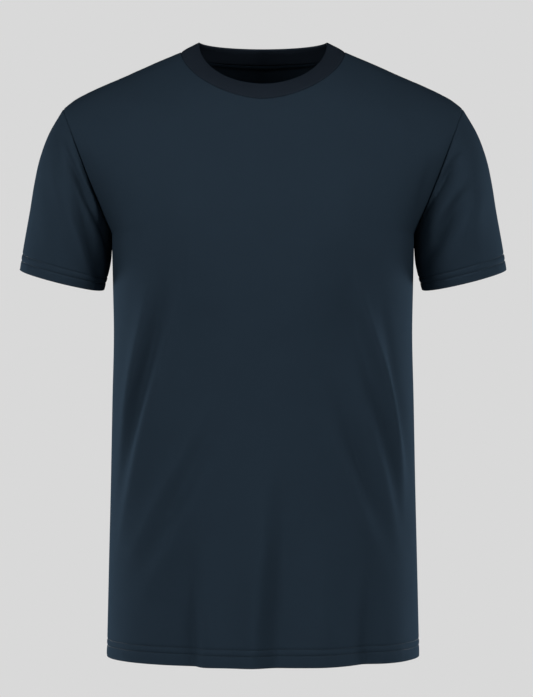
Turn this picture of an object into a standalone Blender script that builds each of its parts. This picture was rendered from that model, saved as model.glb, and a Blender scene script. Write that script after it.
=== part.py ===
"""Crew neck t-shirt with short set-in sleeves, in the hollow form that it has when it is worn.

Metres, +Z up, +X towards the wearer's left and -Y to the front. The origin lies midway between
the two neck points, where the shoulder seams meet the neckband, because the shoulders carry the
shirt from there. The pieces are those that a maker cuts: front, back, two sleeves and neckband.
Each is one wall of cloth whose outer face follows the worn form, and each stops just short of
its neighbours at the seams.
"""

import math
from bisect import bisect
from collections import namedtuple

import bmesh
import bpy
import numpy as np
from mathutils import Vector

# Driving sizes of a men's size M shirt.
BODY_LENGTH = 0.7010  # from the neck points straight down to the hem
NECK_HALF_WIDTH = 0.0950  # from the centre to a neck point, at the neckband's seam
FRONT_NECK_DROP = 0.0617
BACK_NECK_DROP = 0.0040
SHOULDER_TIP = Vector((0.2315, 0.0, -0.0660))  # top of the armhole
UNDERARM = Vector((0.1745, 0.0, -0.2120))  # foot of the armhole
SEAM_GAP = 0.0003

# Cloth.
JERSEY = 0.0014
HEM_JERSEY = 0.0026  # two layers, where the hem is turned up
HEM_DEPTH = 0.0210
HEM_STEP = 0.0010  # the height over which the second layer ends
RIB = 0.0026

# The form that the body pieces lie on: half-widths at the side seams, then depths on the centre
# lines. A section is a superellipse, and its squareness is that curve's exponent.
Side = namedtuple("Side", "height half_width")
SIDES = (
    Side(-0.7010, 0.1815),
    Side(-0.6000, 0.1792),
    Side(-0.5000, 0.1768),
    Side(-0.4000, 0.1748),
    Side(-0.3250, 0.1730),
    Side(-0.2700, 0.1737),
    Side(-0.2120, 0.1745),
)
Depth = namedtuple("Depth", "height front back squareness")
DEPTHS = (
    Depth(-0.7010, 0.1240, 0.1160, 1.95),
    Depth(-0.6000, 0.1200, 0.1115, 2.00),
    Depth(-0.5000, 0.1185, 0.1070, 2.10),
    Depth(-0.4200, 0.1205, 0.1070, 2.20),
    Depth(-0.3400, 0.1260, 0.1120, 2.40),
    Depth(-0.2700, 0.1305, 0.1190, 2.80),
    Depth(-0.2120, 0.1305, 0.1225, 3.20),
    Depth(-0.1600, 0.1235, 0.1235, 2.85),
    Depth(-0.1100, 0.1100, 0.1190, 2.50),
    Depth(-0.0617, 0.0900, 0.1090, 2.35),
    Depth(-0.0200, 0.0670, 0.0990, 2.30),
    Depth(0.0200, 0.0450, 0.0850, 2.30),
)
# The ridge of the shoulders. Inside the neck points it goes on over the neck opening.
Ridge = namedtuple("Ridge", "reach height")
RIDGE = (
    Ridge(0.0000, 0.0360),
    Ridge(0.0500, 0.0185),
    Ridge(0.0950, 0.0000),
    Ridge(0.1200, -0.0106),
    Ridge(0.1450, -0.0216),
    Ridge(0.1650, -0.0304),
    Ridge(0.1870, -0.0400),
    Ridge(0.2050, -0.0486),
    Ridge(0.2195, -0.0566),
    Ridge(0.2315, -0.0660),
)
RIDGE_ROUNDING = 0.0880  # how far below the ridge the front and back start to round over it
ARMHOLE_OPENNESS = 0.60  # depth of the armhole as a share of the body's depth
ARMHOLE_ROUNDNESS = 3.0  # how soon the armhole's foot widens to that depth
NECKLINE_POWER = 1.72  # exponent of the neckline's curve seen from the front

# The sleeve, ring by ring: its share of the way from armhole to cuff, its outer and inner edge as
# seen from the front, and how far it bulges to the front and back of the line between them.
Ring = namedtuple("Ring", "share outer_x outer_z inner_x inner_z front back")
SLEEVE = (
    Ring(0.000, 0.2315, -0.0660, 0.1745, -0.2120, 0.0660, 0.0670),
    Ring(0.167, 0.2480, -0.0940, 0.1757, -0.2275, 0.0690, 0.0710),
    Ring(0.333, 0.2587, -0.1225, 0.1764, -0.2380, 0.0700, 0.0730),
    Ring(0.500, 0.2652, -0.1510, 0.1776, -0.2470, 0.0690, 0.0720),
    Ring(0.667, 0.2704, -0.1830, 0.1797, -0.2565, 0.0670, 0.0690),
    Ring(0.833, 0.2764, -0.2160, 0.1824, -0.2668, 0.0640, 0.0650),
    Ring(1.000, 0.2828, -0.2520, 0.1850, -0.2764, 0.0610, 0.0610),
)
CUFF_SQUARENESS = 2.15
CUFF_DIP = 0.085  # how much lower the cuff lies for each metre further to the front

# The neckband: its top edge slopes down to the front and hardly at all to the back.
BAND_HALF_WIDTH = 0.0745
BAND_TOP = 0.0134
BAND_FRONT = 0.0755
BAND_BACK = 0.0650
BAND_FRONT_SLOPE = 0.752
BAND_BACK_SLOPE = 0.020
BAND_ROLL = 0.0007  # how far the band bows out between its seam and its top edge

# The largest folds, as soft ridges (height above 0) and troughs (below 0). Each runs between two
# places seen from the front, and bows aside in the middle. Right and left are how far it spreads
# to the -X and the +X side of its line.
Fold = namedtuple("Fold", "start_x start_z end_x end_z bow right left height")
FRONT_FOLDS = (
    Fold(-0.122, -0.230, -0.176, -0.545, -0.006, 0.0120, 0.0100, 0.0040),
    Fold(-0.108, -0.245, -0.176, -0.560, 0.002, 0.0110, 0.0100, -0.0065),
    Fold(-0.092, -0.262, -0.182, -0.625, -0.002, 0.0100, 0.0190, 0.0062),
    Fold(-0.060, -0.385, -0.172, -0.610, 0.000, 0.0110, 0.0140, 0.0040),
    Fold(-0.060, -0.415, -0.142, -0.610, 0.000, 0.0120, 0.0120, -0.0040),
    Fold(0.1135, -0.240, 0.1715, -0.560, 0.000, 0.0140, 0.0100, 0.0062),
    Fold(0.100, -0.345, 0.178, -0.620, 0.002, 0.0150, 0.0110, 0.0052),
    Fold(0.078, -0.370, 0.140, -0.600, 0.000, 0.0130, 0.0130, -0.0050),
    Fold(-0.094, -0.185, -0.100, -0.430, 0.000, 0.0300, 0.0360, -0.0055),
    Fold(0.092, -0.185, 0.098, -0.430, 0.000, 0.0360, 0.0300, -0.0055),
    Fold(-0.083, -0.545, -0.0775, -0.840, 0.000, 0.0380, 0.0110, -0.0070),
    Fold(0.010, -0.440, -0.026, -0.850, 0.000, 0.0200, 0.0160, 0.0055),
    Fold(0.028, -0.470, 0.012, -0.850, 0.000, 0.0160, 0.0200, -0.0050),
    Fold(0.066, -0.540, 0.070, -0.850, 0.000, 0.0200, 0.0200, 0.0045),
    Fold(0.118, -0.550, 0.123, -0.840, 0.000, 0.0180, 0.0160, -0.0070),
)
BACK_FOLDS = (
    Fold(-0.128, -0.240, -0.176, -0.540, -0.004, 0.0120, 0.0100, 0.0030),
    Fold(-0.112, -0.255, -0.174, -0.560, 0.000, 0.0100, 0.0100, -0.0050),
    Fold(-0.094, -0.285, -0.176, -0.640, -0.004, 0.0110, 0.0160, 0.0062),
    Fold(-0.052, -0.380, -0.112, -0.660, 0.000, 0.0140, 0.0160, 0.0044),
    Fold(0.120, -0.245, 0.174, -0.550, 0.002, 0.0130, 0.0100, 0.0050),
    Fold(0.104, -0.285, 0.168, -0.600, 0.002, 0.0110, 0.0110, -0.0045),
    Fold(0.086, -0.320, 0.160, -0.640, 0.002, 0.0160, 0.0120, 0.0048),
    Fold(0.046, -0.400, 0.084, -0.680, 0.000, 0.0160, 0.0160, 0.0034),
    Fold(-0.080, -0.110, -0.090, -0.330, 0.000, 0.0300, 0.0300, 0.0036),
    Fold(0.078, -0.110, 0.086, -0.330, 0.000, 0.0300, 0.0300, 0.0036),
    Fold(-0.002, -0.400, -0.006, -0.640, 0.004, 0.0200, 0.0200, -0.0044),
    Fold(-0.100, -0.540, -0.106, -0.830, 0.000, 0.0200, 0.0200, -0.0058),
    Fold(-0.060, -0.560, -0.056, -0.830, 0.000, 0.0110, 0.0240, 0.0040),
    Fold(0.030, -0.560, 0.034, -0.830, 0.000, 0.0220, 0.0220, -0.0042),
    Fold(0.104, -0.540, 0.108, -0.830, 0.000, 0.0200, 0.0200, -0.0056),
)
# Folds of the sleeves, with X outwards on either arm. Each set lies in front on one sleeve and
# behind on the other.
NEAR_SEAM_FOLDS = (
    Fold(0.2335, -0.092, 0.1700, -0.250, -0.0015, 0.0080, 0.0080, -0.0045),
    Fold(0.2400, -0.108, 0.1880, -0.290, -0.0020, 0.0110, 0.0120, -0.0045),
    Fold(0.2560, -0.150, 0.2200, -0.300, 0.0000, 0.0130, 0.0150, 0.0028),
)
ACROSS_ARM_FOLDS = (
    Fold(0.2400, -0.118, 0.1740, -0.208, -0.003, 0.0080, 0.0100, -0.0060),
    Fold(0.2420, -0.148, 0.1800, -0.262, -0.004, 0.0090, 0.0100, -0.0055),
    Fold(0.2560, -0.150, 0.1980, -0.280, -0.002, 0.0110, 0.0120, 0.0034),
    Fold(0.2360, -0.100, 0.2340, -0.310, 0.000, 0.0240, 0.0260, 0.0036),
)
FOLD_FADE = 1.5  # how softly a fold fades out towards its two ends
SEAM_HOLD = 14  # how closely to a side seam a fold still runs before the seam flattens it
SLEEVE_FOLD_START = 0.08  # share of the sleeve over which its folds grow from the armhole

# How finely each piece is divided.
NECK_COLUMNS = 9  # on each side of the centre line, along the neckline
SHOULDER_COLUMNS = 5  # on each side, along the shoulder seam
COLUMNS = NECK_COLUMNS + SHOULDER_COLUMNS
BODY_ROWS = 16  # from the turned-up hem to the underarm
ARMHOLE_ROWS = 16
SLEEVE_ROWS = 9
BAND_ROWS = 4
# The rows of the yoke are even on the centre line. They gather towards the shoulder seam outside
# this share of the neckline's columns, and towards both ends of the armhole outside this share of
# all the columns.
RIDGE_GATHER = 0.40
ARMHOLE_GATHER = 0.55
NECK_FAN = 1.4  # how steeply the columns fan out again below the neckline

FRONT, BACK = -1, 1
RIGHT, LEFT = -1, 1

CLOTH_COLOUR = (0.0160, 0.0265, 0.0390, 1.0)
RIB_COLOUR = (0.0130, 0.0182, 0.0261, 1.0)
CLOTH_ROUGHNESS = 0.85
SHARP_EDGE = math.radians(50)
SAME_POINT = 0.000001


class Profile:
    """One column of a table, read at any place along another as a smooth curve through its rows."""

    def __init__(self, rows, key, column):
        self.keys = [getattr(row, key) for row in rows]
        self.values = [getattr(row, column) for row in rows]
        self.slopes = [float(slope) for slope in np.gradient(self.values, self.keys)]

    def at(self, place):
        """The curve's value there. Past the table's ends it goes on straight."""
        if place < self.keys[0]:
            return self.values[0] + self.slopes[0] * (place - self.keys[0])
        if place > self.keys[-1]:
            return self.values[-1] + self.slopes[-1] * (place - self.keys[-1])
        i = min(bisect(self.keys, place), len(self.keys) - 1) - 1
        span = self.keys[i + 1] - self.keys[i]
        t = (place - self.keys[i]) / span
        return (
            self.values[i] * (1 + 2 * t) * (1 - t) ** 2
            + self.slopes[i] * span * t * (1 - t) ** 2
            + self.values[i + 1] * t**2 * (3 - 2 * t)
            + self.slopes[i + 1] * span * t**2 * (t - 1)
        )


HALF_WIDTH = Profile(SIDES, "height", "half_width")
SQUARENESS = Profile(DEPTHS, "height", "squareness")
DEPTH = {FRONT: Profile(DEPTHS, "height", "front"), BACK: Profile(DEPTHS, "height", "back")}
SHOULDER = Profile(RIDGE, "reach", "height")
SLEEVE_EDGES = [Profile(SLEEVE, "share", field) for field in Ring._fields[1:]]


def ease(t):
    """0 below 0, 1 above 1, and a smooth step between."""
    t = min(1.0, max(0.0, t))
    return t * t * (3 - 2 * t)


def armhole_share(z):
    """How far up the armhole a height lies: 0 at the underarm and 1 at the shoulder tip."""
    return (z - UNDERARM.z) / (SHOULDER_TIP.z - UNDERARM.z)


def edge_reach(z):
    """How far from the centre a body piece reaches: to its side seam or to the armhole."""
    if z <= UNDERARM.z:
        return HALF_WIDTH.at(z)
    return UNDERARM.x + (SHOULDER_TIP.x - UNDERARM.x) * armhole_share(z)


def form_half_width(z, squareness):
    """Half-width of the form's whole section, which the armhole cuts off above the underarm."""
    if z <= UNDERARM.z:
        return edge_reach(z)
    closed = max(0.0, 1 - armhole_share(z)) ** ARMHOLE_ROUNDNESS
    openness = ARMHOLE_OPENNESS * math.sqrt(1 - closed)
    return edge_reach(z) / (1 - openness**squareness) ** (1 / squareness)


def form_fullness(x, z):
    """How full the form is at a place seen from the front: 1 at its fullest and 0 at its edge."""
    power = SQUARENESS.at(z)
    over = 1 - (SHOULDER.at(abs(x)) - z) / RIDGE_ROUNDING
    across = 1 - (abs(x) / form_half_width(z, power)) ** power
    up = 1 - max(0.0, over) ** power
    return across * up


def form_depth(x, z, side):
    """How far in front of or behind the centre the form lies, at a place seen from the front."""
    return DEPTH[side].at(z) * max(0.0, form_fullness(x, z)) ** (1 / SQUARENESS.at(z))


def form_level(x, y, z):
    """0 on the form, negative inside it and positive outside."""
    depth = DEPTH[FRONT if y < 0 else BACK].at(z)
    return (abs(y) / depth) ** SQUARENESS.at(z) - form_fullness(x, z)


def form_normal(point):
    """The form's outward direction at a point on it."""
    step = 0.0002
    x, y, z = point
    return Vector(
        (
            form_level(x + step, y, z) - form_level(x - step, y, z),
            form_level(x, y + step, z) - form_level(x, y - step, z),
            form_level(x, y, z + step) - form_level(x, y, z - step),
        )
    ).normalized()


def fold_height(folds, x, z):
    """How far the folds lift or sink the cloth at a place seen from the front."""
    total = 0.0
    for fold in folds:
        start = Vector((fold.start_x, fold.start_z))
        run = Vector((fold.end_x, fold.end_z)) - start
        along = (Vector((x, z)) - start).dot(run) / run.length_squared
        if not 0 < along < 1:
            continue
        line_x = start.x + run.x * along + fold.bow * 4 * along * (1 - along)
        spread = fold.left if x > line_x else fold.right
        across = math.exp(-(((x - line_x) / spread) ** 2))
        total += fold.height * math.sin(math.pi * along) ** FOLD_FADE * across
    return total


def neckline(side, column):
    """A point of the neckline's seam: column 0 on the centre line, NECK_COLUMNS at a neck point."""
    if column == NECK_COLUMNS:
        return Vector((NECK_HALF_WIDTH, 0.0, 0.0))
    turn = math.pi / 2 * column / NECK_COLUMNS
    drop = FRONT_NECK_DROP if side == FRONT else BACK_NECK_DROP
    x = NECK_HALF_WIDTH * math.sin(turn) ** (2 / NECKLINE_POWER)
    z = -drop * math.cos(turn) ** (2 / NECKLINE_POWER)
    return Vector((x, side * form_depth(x, z, side), z))


def band_top(side, column):
    """A point of the neckband's top edge, over the same column of the neckline."""
    turn = math.pi / 2 * column / NECK_COLUMNS
    reach, slope = (BAND_FRONT, BAND_FRONT_SLOPE) if side == FRONT else (BAND_BACK, BAND_BACK_SLOPE)
    out = reach * math.cos(turn)
    return Vector((BAND_HALF_WIDTH * math.sin(turn), side * out, BAND_TOP - slope * out))


def neck_seam(side, column):
    """At a column of a body piece: the neckline's seam, the band's direction and its top edge."""
    foot, top = neckline(side, abs(column)), band_top(side, abs(column))
    for point in (foot, top):
        point.x = math.copysign(point.x, column)
    return foot, (top - foot).normalized(), top


def top_edge(side, column):
    """Where a column of a body piece ends: on the neckline, then along the shoulder seam."""
    if column <= NECK_COLUMNS:
        return neckline(side, column)
    share = (column - NECK_COLUMNS) / SHOULDER_COLUMNS
    x = NECK_HALF_WIDTH + (SHOULDER_TIP.x - NECK_HALF_WIDTH) * share
    return Vector((x, 0.0, SHOULDER.at(x)))


def section_share(column, power):
    """How far across a section a column lies, spaced evenly round the superellipse."""
    turn = math.pi / 2 * column / COLUMNS
    return math.sin(turn) / (math.sin(turn) ** power + math.cos(turn) ** power) ** (1 / power)


def body_heights():
    """The rows below the underarm, from the hem up, with a close pair where the hem's layer ends."""
    hem = -BODY_LENGTH
    layer_end = hem + HEM_DEPTH + HEM_STEP
    rise = [layer_end + (UNDERARM.z - layer_end) * i / BODY_ROWS for i in range(BODY_ROWS + 1)]
    return [hem, hem + HEM_DEPTH] + rise


HEIGHTS = body_heights()
UNDERARM_ROW = len(HEIGHTS) - 1
TOP_ROW = UNDERARM_ROW + ARMHOLE_ROWS
HEM_ROWS = 2


def yoke_place(side, out, row):
    """A place between the underarm and the top edge, as its x and z seen from the front."""
    top = top_edge(side, out)
    if row == ARMHOLE_ROWS:
        return top.x, top.z
    even = row / ARMHOLE_ROWS
    near_ridge = ease((out / NECK_COLUMNS - RIDGE_GATHER) / (1 - RIDGE_GATHER))
    near_armhole = ease((out / COLUMNS - ARMHOLE_GATHER) / (1 - ARMHOLE_GATHER))
    share = even + (math.sin(math.pi / 2 * even) - even) * near_ridge
    share += ((1 - math.cos(math.pi * even)) / 2 - share) * near_armhole
    edge = UNDERARM.x + (SHOULDER_TIP.x - UNDERARM.x) * share
    low = section_share(out, SQUARENESS.at(UNDERARM.z))
    x = edge * (low + (top.x / SHOULDER_TIP.x - low) * share**NECK_FAN)
    return x, UNDERARM.z + (top.z - UNDERARM.z) * share


def body_place(side, column, row):
    """A point of a body piece's outer face, with its folds. Column 0 is the centre line."""
    out = abs(column)
    if row <= UNDERARM_ROW:
        z = HEIGHTS[row]
        x = edge_reach(z) * section_share(out, SQUARENESS.at(z))
        on_seam = out == COLUMNS
        free = 1 - (x / edge_reach(z)) ** SEAM_HOLD
    else:
        x, z = yoke_place(side, out, row - UNDERARM_ROW)
        on_seam = row == TOP_ROW and out >= NECK_COLUMNS
        free = 1.0
    x = math.copysign(x, column)
    point = Vector((x, 0.0 if on_seam else side * form_depth(x, z, side), z))
    folds = FRONT_FOLDS if side == FRONT else BACK_FOLDS
    return point + form_normal(point) * fold_height(folds, x, z) * free


def clear_of_armhole(point, way):
    """The point, moved to its own side of the armhole's seam if need be: way -1 is the body's."""
    hand = math.copysign(1, point.x)
    rise = SHOULDER_TIP - UNDERARM
    outwards = Vector((rise.z, 0.0, -rise.x)).normalized()
    beyond = (Vector((point.x * hand, point.y, point.z)) - UNDERARM).dot(outwards) * way
    outwards.x *= hand
    return point + outwards * way * max(0.0, SEAM_GAP / 2 - beyond)


def body_skins(side, column, row):
    """The outer and the inner point of a body piece at one place of its grid."""
    outer = body_place(side, column, row)
    inner = outer - form_normal(outer) * (HEM_JERSEY if row < HEM_ROWS else JERSEY)
    if row == TOP_ROW and abs(column) <= NECK_COLUMNS:
        _, rise, _ = neck_seam(side, column)
        outer, inner = outer - rise * SEAM_GAP / 2, inner - rise * SEAM_GAP / 2
    if abs(column) == COLUMNS and row >= UNDERARM_ROW:
        outer, inner = clear_of_armhole(outer, -1), clear_of_armhole(inner, -1)
    for point in (outer, inner):
        point.y = side * max(side * point.y, SEAM_GAP / 2)
    return outer, inner


def sleeve_place(hand, turn, share):
    """A point of a sleeve's outer face. Turn 0 is its outer edge and goes round by the front."""
    ring = Ring(share, *(edge.at(share) for edge in SLEEVE_EDGES))
    start = SLEEVE[0]
    up = (1 + math.cos(turn)) / 2
    side = FRONT if math.sin(turn) >= 0 else BACK
    at_armhole = form_depth(
        start.inner_x + (start.outer_x - start.inner_x) * up,
        start.inner_z + (start.outer_z - start.inner_z) * up,
        side,
    ) / (start.front if side == FRONT else start.back)
    at_cuff = max(0.0, 1 - abs(2 * up - 1) ** CUFF_SQUARENESS) ** (1 / CUFF_SQUARENESS)
    bulge = ring.front if side == FRONT else ring.back
    y = side * bulge * (at_armhole + (at_cuff - at_armhole) * ease(share))
    x = ring.inner_x + (ring.outer_x - ring.inner_x) * up
    z = ring.inner_z + (ring.outer_z - ring.inner_z) * up + CUFF_DIP * y * share
    return Vector((x * hand, y, z))


def sleeve_normal(hand, turn, share):
    """A sleeve's outward direction, from its slopes round and along it."""
    step = 0.002
    around = sleeve_place(hand, turn + step, share) - sleeve_place(hand, turn - step, share)
    before, after = max(0.0, share - step), min(1.0, share + step)
    down = sleeve_place(hand, turn, after) - sleeve_place(hand, turn, before)
    return around.cross(down).normalized() * hand


def sleeve_rows():
    """Each row of a sleeve as its share of the way from armhole to cuff, and its thickness there."""
    length = math.dist(
        (SLEEVE[0].outer_x, SLEEVE[0].outer_z), (SLEEVE[-1].outer_x, SLEEVE[-1].outer_z)
    )
    layer_end = 1 - (HEM_DEPTH + HEM_STEP) / length
    single = [(layer_end * i / SLEEVE_ROWS, JERSEY) for i in range(SLEEVE_ROWS + 1)]
    return single + [(1 - HEM_DEPTH / length, HEM_JERSEY), (1.0, HEM_JERSEY)]


def sleeve_skins(hand, step, row):
    """The outer and the inner point of a sleeve at one place of its grid."""
    turn = math.pi * (step % (2 * ARMHOLE_ROWS)) / ARMHOLE_ROWS
    share, thickness = sleeve_rows()[row]
    outer = sleeve_place(hand, turn, share)
    normal = sleeve_normal(hand, turn, share)
    in_front = math.sin(turn) >= 0
    folds = NEAR_SEAM_FOLDS if in_front == (hand == RIGHT) else ACROSS_ARM_FOLDS
    free = abs(math.sin(turn)) * ease(share / SLEEVE_FOLD_START)
    outer = outer + normal * fold_height(folds, abs(outer.x), outer.z) * free
    inner = outer - normal * thickness
    if row == 0:
        outer, inner = clear_of_armhole(outer, 1), clear_of_armhole(inner, 1)
    return outer, inner


def band_section(step):
    """The band's closed outline at one place: up its outer face, over its fold and down inside.

    Step 0 is the centre front, and the steps go round by +X.
    """
    quarter, rest = divmod(step, NECK_COLUMNS)
    column = (rest, NECK_COLUMNS - rest, -rest, rest - NECK_COLUMNS)[quarter]
    foot, rise, top = neck_seam(FRONT if quarter in (0, 3) else BACK, column)
    inward = -form_normal(foot)
    across = (inward - rise * inward.dot(rise)).normalized()
    foot = foot + rise * SEAM_GAP / 2
    outer, inner = [foot], [foot + inward * RIB]
    for i in range(1, BAND_ROWS):
        share = i / BAND_ROWS
        line = foot + (top - foot) * share - across * BAND_ROLL * 4 * share * (1 - share)
        outer.append(line)
        inner.append(line + across * RIB)
    below_fold = top - rise * RIB / 2
    fold = [below_fold, top + across * RIB / 2, below_fold + across * RIB]
    return outer + fold + inner[::-1]


def cloth(name, colour):
    """A matt cloth."""
    material = bpy.data.materials.new(name)
    material.use_nodes = True
    shader = material.node_tree.nodes["Principled BSDF"]
    shader.inputs["Base Color"].default_value = colour
    shader.inputs["Roughness"].default_value = CLOTH_ROUGHNESS
    shader.inputs["Metallic"].default_value = 0.0
    return material


def grid(columns, rows, place):
    """A bmesh grid whose points are placed by column and row, and the layers that hold these."""
    shape = bmesh.new()
    bmesh.ops.create_grid(shape, x_segments=columns, y_segments=rows, size=0.5)
    column_of = shape.verts.layers.int.new("column")
    row_of = shape.verts.layers.int.new("row")
    for vert in shape.verts:
        vert[column_of] = round((vert.co.x + 0.5) * columns)
        vert[row_of] = round((vert.co.y + 0.5) * rows)
        vert.co = place(vert[column_of], vert[row_of])
    return shape, column_of, row_of


def finish(name, shape, material):
    """Points the mesh's faces outwards and puts it in the scene as a named object."""
    bmesh.ops.recalc_face_normals(shape, faces=shape.faces)
    mesh = bpy.data.meshes.new(name)
    shape.to_mesh(mesh)
    shape.free()
    mesh.shade_smooth()
    mesh.set_sharp_from_angle(angle=SHARP_EDGE)
    mesh.materials.append(material)
    piece = bpy.data.objects.new(name, mesh)
    bpy.context.scene.collection.objects.link(piece)


def make_wall(name, columns, rows, skins, material):
    """One wall of cloth: skins(column, row) gives the outer and the inner point of each place."""
    shape, column_of, row_of = grid(columns, rows, lambda i, j: skins(i, j)[0])
    bmesh.ops.remove_doubles(shape, verts=shape.verts, dist=SAME_POINT)
    inside = bmesh.ops.extrude_face_region(shape, geom=shape.faces[:])
    for vert in inside["geom"]:
        if isinstance(vert, bmesh.types.BMVert):
            vert.co = skins(vert[column_of], vert[row_of])[1]
    finish(name, shape, material)


def make_body(name, side, material):
    """The front or the back, from side seam to side seam and from the hem to the neckline."""

    def skins(i, j):
        return body_skins(side, i - COLUMNS, j)

    make_wall(name, 2 * COLUMNS, TOP_ROW, skins, material)


def make_sleeve(name, hand, material):
    """A sleeve, as a tube whose grid joins up along its outer edge."""

    def skins(i, j):
        return sleeve_skins(hand, i, j)

    make_wall(name, 2 * ARMHOLE_ROWS, len(sleeve_rows()) - 1, skins, material)


def make_neckband(name, material):
    """The neckband, as a ring of its closed outline: its grid joins up both ways."""
    sections = [band_section(step) for step in range(4 * NECK_COLUMNS)]
    around, across = len(sections), len(sections[0])
    shape, _, _ = grid(around, across, lambda i, j: sections[i % around][j % across])
    bmesh.ops.remove_doubles(shape, verts=shape.verts, dist=SAME_POINT)
    finish(name, shape, material)


def main():
    for old in list(bpy.data.objects):
        bpy.data.objects.remove(old, do_unlink=True)
    jersey = cloth("jersey", CLOTH_COLOUR)
    rib = cloth("rib", RIB_COLOUR)
    make_body("front", FRONT, jersey)
    make_body("back", BACK, jersey)
    make_sleeve("sleeve_left", LEFT, jersey)
    make_sleeve("sleeve_right", RIGHT, jersey)
    make_neckband("neckband", rib)


main()
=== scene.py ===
"""Looks of a crew neck t-shirt in dark jersey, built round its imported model.

Metres, +Z up, +X towards the wearer's left and -Y to the front. The origin lies midway between
the two neck points. Every piece of cloth is a thin shell on the form of the solid that it stands
for, with its creases, its rolled seam edges and its turned-up hem. The sewing lies on those shells.
"""

from __future__ import annotations

import logging
import math
import sys
from abc import ABC, abstractmethod
from collections.abc import Sequence
from dataclasses import dataclass, replace
from enum import Enum
from typing import NamedTuple

import bmesh
import bpy
import numpy as np
from mathutils import Matrix, Vector

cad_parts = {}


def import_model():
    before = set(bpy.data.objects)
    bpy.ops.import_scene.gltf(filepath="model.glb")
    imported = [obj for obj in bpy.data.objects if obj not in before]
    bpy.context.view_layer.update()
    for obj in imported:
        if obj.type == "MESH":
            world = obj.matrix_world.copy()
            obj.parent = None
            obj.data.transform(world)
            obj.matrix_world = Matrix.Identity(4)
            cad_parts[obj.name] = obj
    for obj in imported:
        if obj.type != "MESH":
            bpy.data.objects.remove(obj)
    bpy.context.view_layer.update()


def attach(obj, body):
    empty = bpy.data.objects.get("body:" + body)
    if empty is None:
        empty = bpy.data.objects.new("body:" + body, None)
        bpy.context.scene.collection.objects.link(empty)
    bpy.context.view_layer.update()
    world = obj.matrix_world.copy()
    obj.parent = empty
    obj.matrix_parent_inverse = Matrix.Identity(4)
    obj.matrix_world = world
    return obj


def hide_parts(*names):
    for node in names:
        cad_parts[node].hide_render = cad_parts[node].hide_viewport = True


LOG = logging.getLogger("shirt")

Array = np.ndarray
Colour = tuple[float, float, float]

BODY = "root"
UV_NAME = "cloth"
MM = 0.001
SAME_POINT = 0.001 * MM
NO_LENGTH = 1e-12  # vectors shorter than this have no direction
FOLD_FADE = 1.5  # how softly a fold fades out towards its two ends


class Side(Enum):
    """The two body panels. The value is the sign of their Y."""

    FRONT = -1
    BACK = 1


class Hand(Enum):
    """The wearer's two sides. The value is the sign of their X."""

    RIGHT = -1
    LEFT = 1


class Border(Enum):
    """The four borders of a piece's grid."""

    FIRST_COLUMN = "first column"
    LAST_COLUMN = "last column"
    FIRST_ROW = "first row"
    LAST_ROW = "last row"


# --------------------------------------------------------------------------------------------
# The cut, and the form that it has when it is worn
# --------------------------------------------------------------------------------------------


@dataclass(frozen=True)
class Cut:
    """Driving sizes of a men's size M shirt, in metres. A place seen from the front is x, z."""

    body_length: float = 0.7010
    neck_half_width: float = 0.0950
    front_neck_drop: float = 0.0617
    back_neck_drop: float = 0.0040
    neckline_power: float = 1.72
    shoulder_tip: tuple[float, float] = (0.2315, -0.0660)
    underarm: tuple[float, float] = (0.1745, -0.2120)
    neck_share: float = 9 / 14  # of a panel's columns that end on the neckline


class SideRow(NamedTuple):
    """Half-width of the body at its side seams."""

    height: float
    half_width: float


SIDES = (
    SideRow(-0.7010, 0.1815),
    SideRow(-0.6000, 0.1792),
    SideRow(-0.5000, 0.1768),
    SideRow(-0.4000, 0.1748),
    SideRow(-0.3250, 0.1730),
    SideRow(-0.2700, 0.1737),
    SideRow(-0.2120, 0.1745),
)


class DepthRow(NamedTuple):
    """Depth of the body on its centre lines, and the exponent of its section's curve."""

    height: float
    front: float
    back: float
    squareness: float


DEPTHS = (
    DepthRow(-0.7010, 0.1240, 0.1160, 1.95),
    DepthRow(-0.6000, 0.1200, 0.1115, 2.00),
    DepthRow(-0.5000, 0.1185, 0.1070, 2.10),
    DepthRow(-0.4200, 0.1205, 0.1070, 2.20),
    DepthRow(-0.3400, 0.1260, 0.1120, 2.40),
    DepthRow(-0.2700, 0.1305, 0.1190, 2.80),
    DepthRow(-0.2120, 0.1305, 0.1225, 3.20),
    DepthRow(-0.1600, 0.1235, 0.1235, 2.85),
    DepthRow(-0.1100, 0.1100, 0.1190, 2.50),
    DepthRow(-0.0617, 0.0900, 0.1090, 2.35),
    DepthRow(-0.0200, 0.0670, 0.0990, 2.30),
    DepthRow(0.0200, 0.0450, 0.0850, 2.30),
)


class RidgeRow(NamedTuple):
    """Height of the shoulders' ridge. Inside the neck points it goes on over the opening."""

    reach: float
    height: float


RIDGE = (
    RidgeRow(0.0000, 0.0360),
    RidgeRow(0.0500, 0.0185),
    RidgeRow(0.0950, 0.0000),
    RidgeRow(0.1200, -0.0106),
    RidgeRow(0.1450, -0.0216),
    RidgeRow(0.1650, -0.0304),
    RidgeRow(0.1870, -0.0400),
    RidgeRow(0.2050, -0.0486),
    RidgeRow(0.2195, -0.0566),
    RidgeRow(0.2315, -0.0660),
)


class RingRow(NamedTuple):
    """One ring of a sleeve: its share of the way from the armhole to the cuff, its outer and
    inner edge seen from the front, and how far it bulges to the front and the back."""

    share: float
    outer_x: float
    outer_z: float
    inner_x: float
    inner_z: float
    front: float
    back: float


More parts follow.
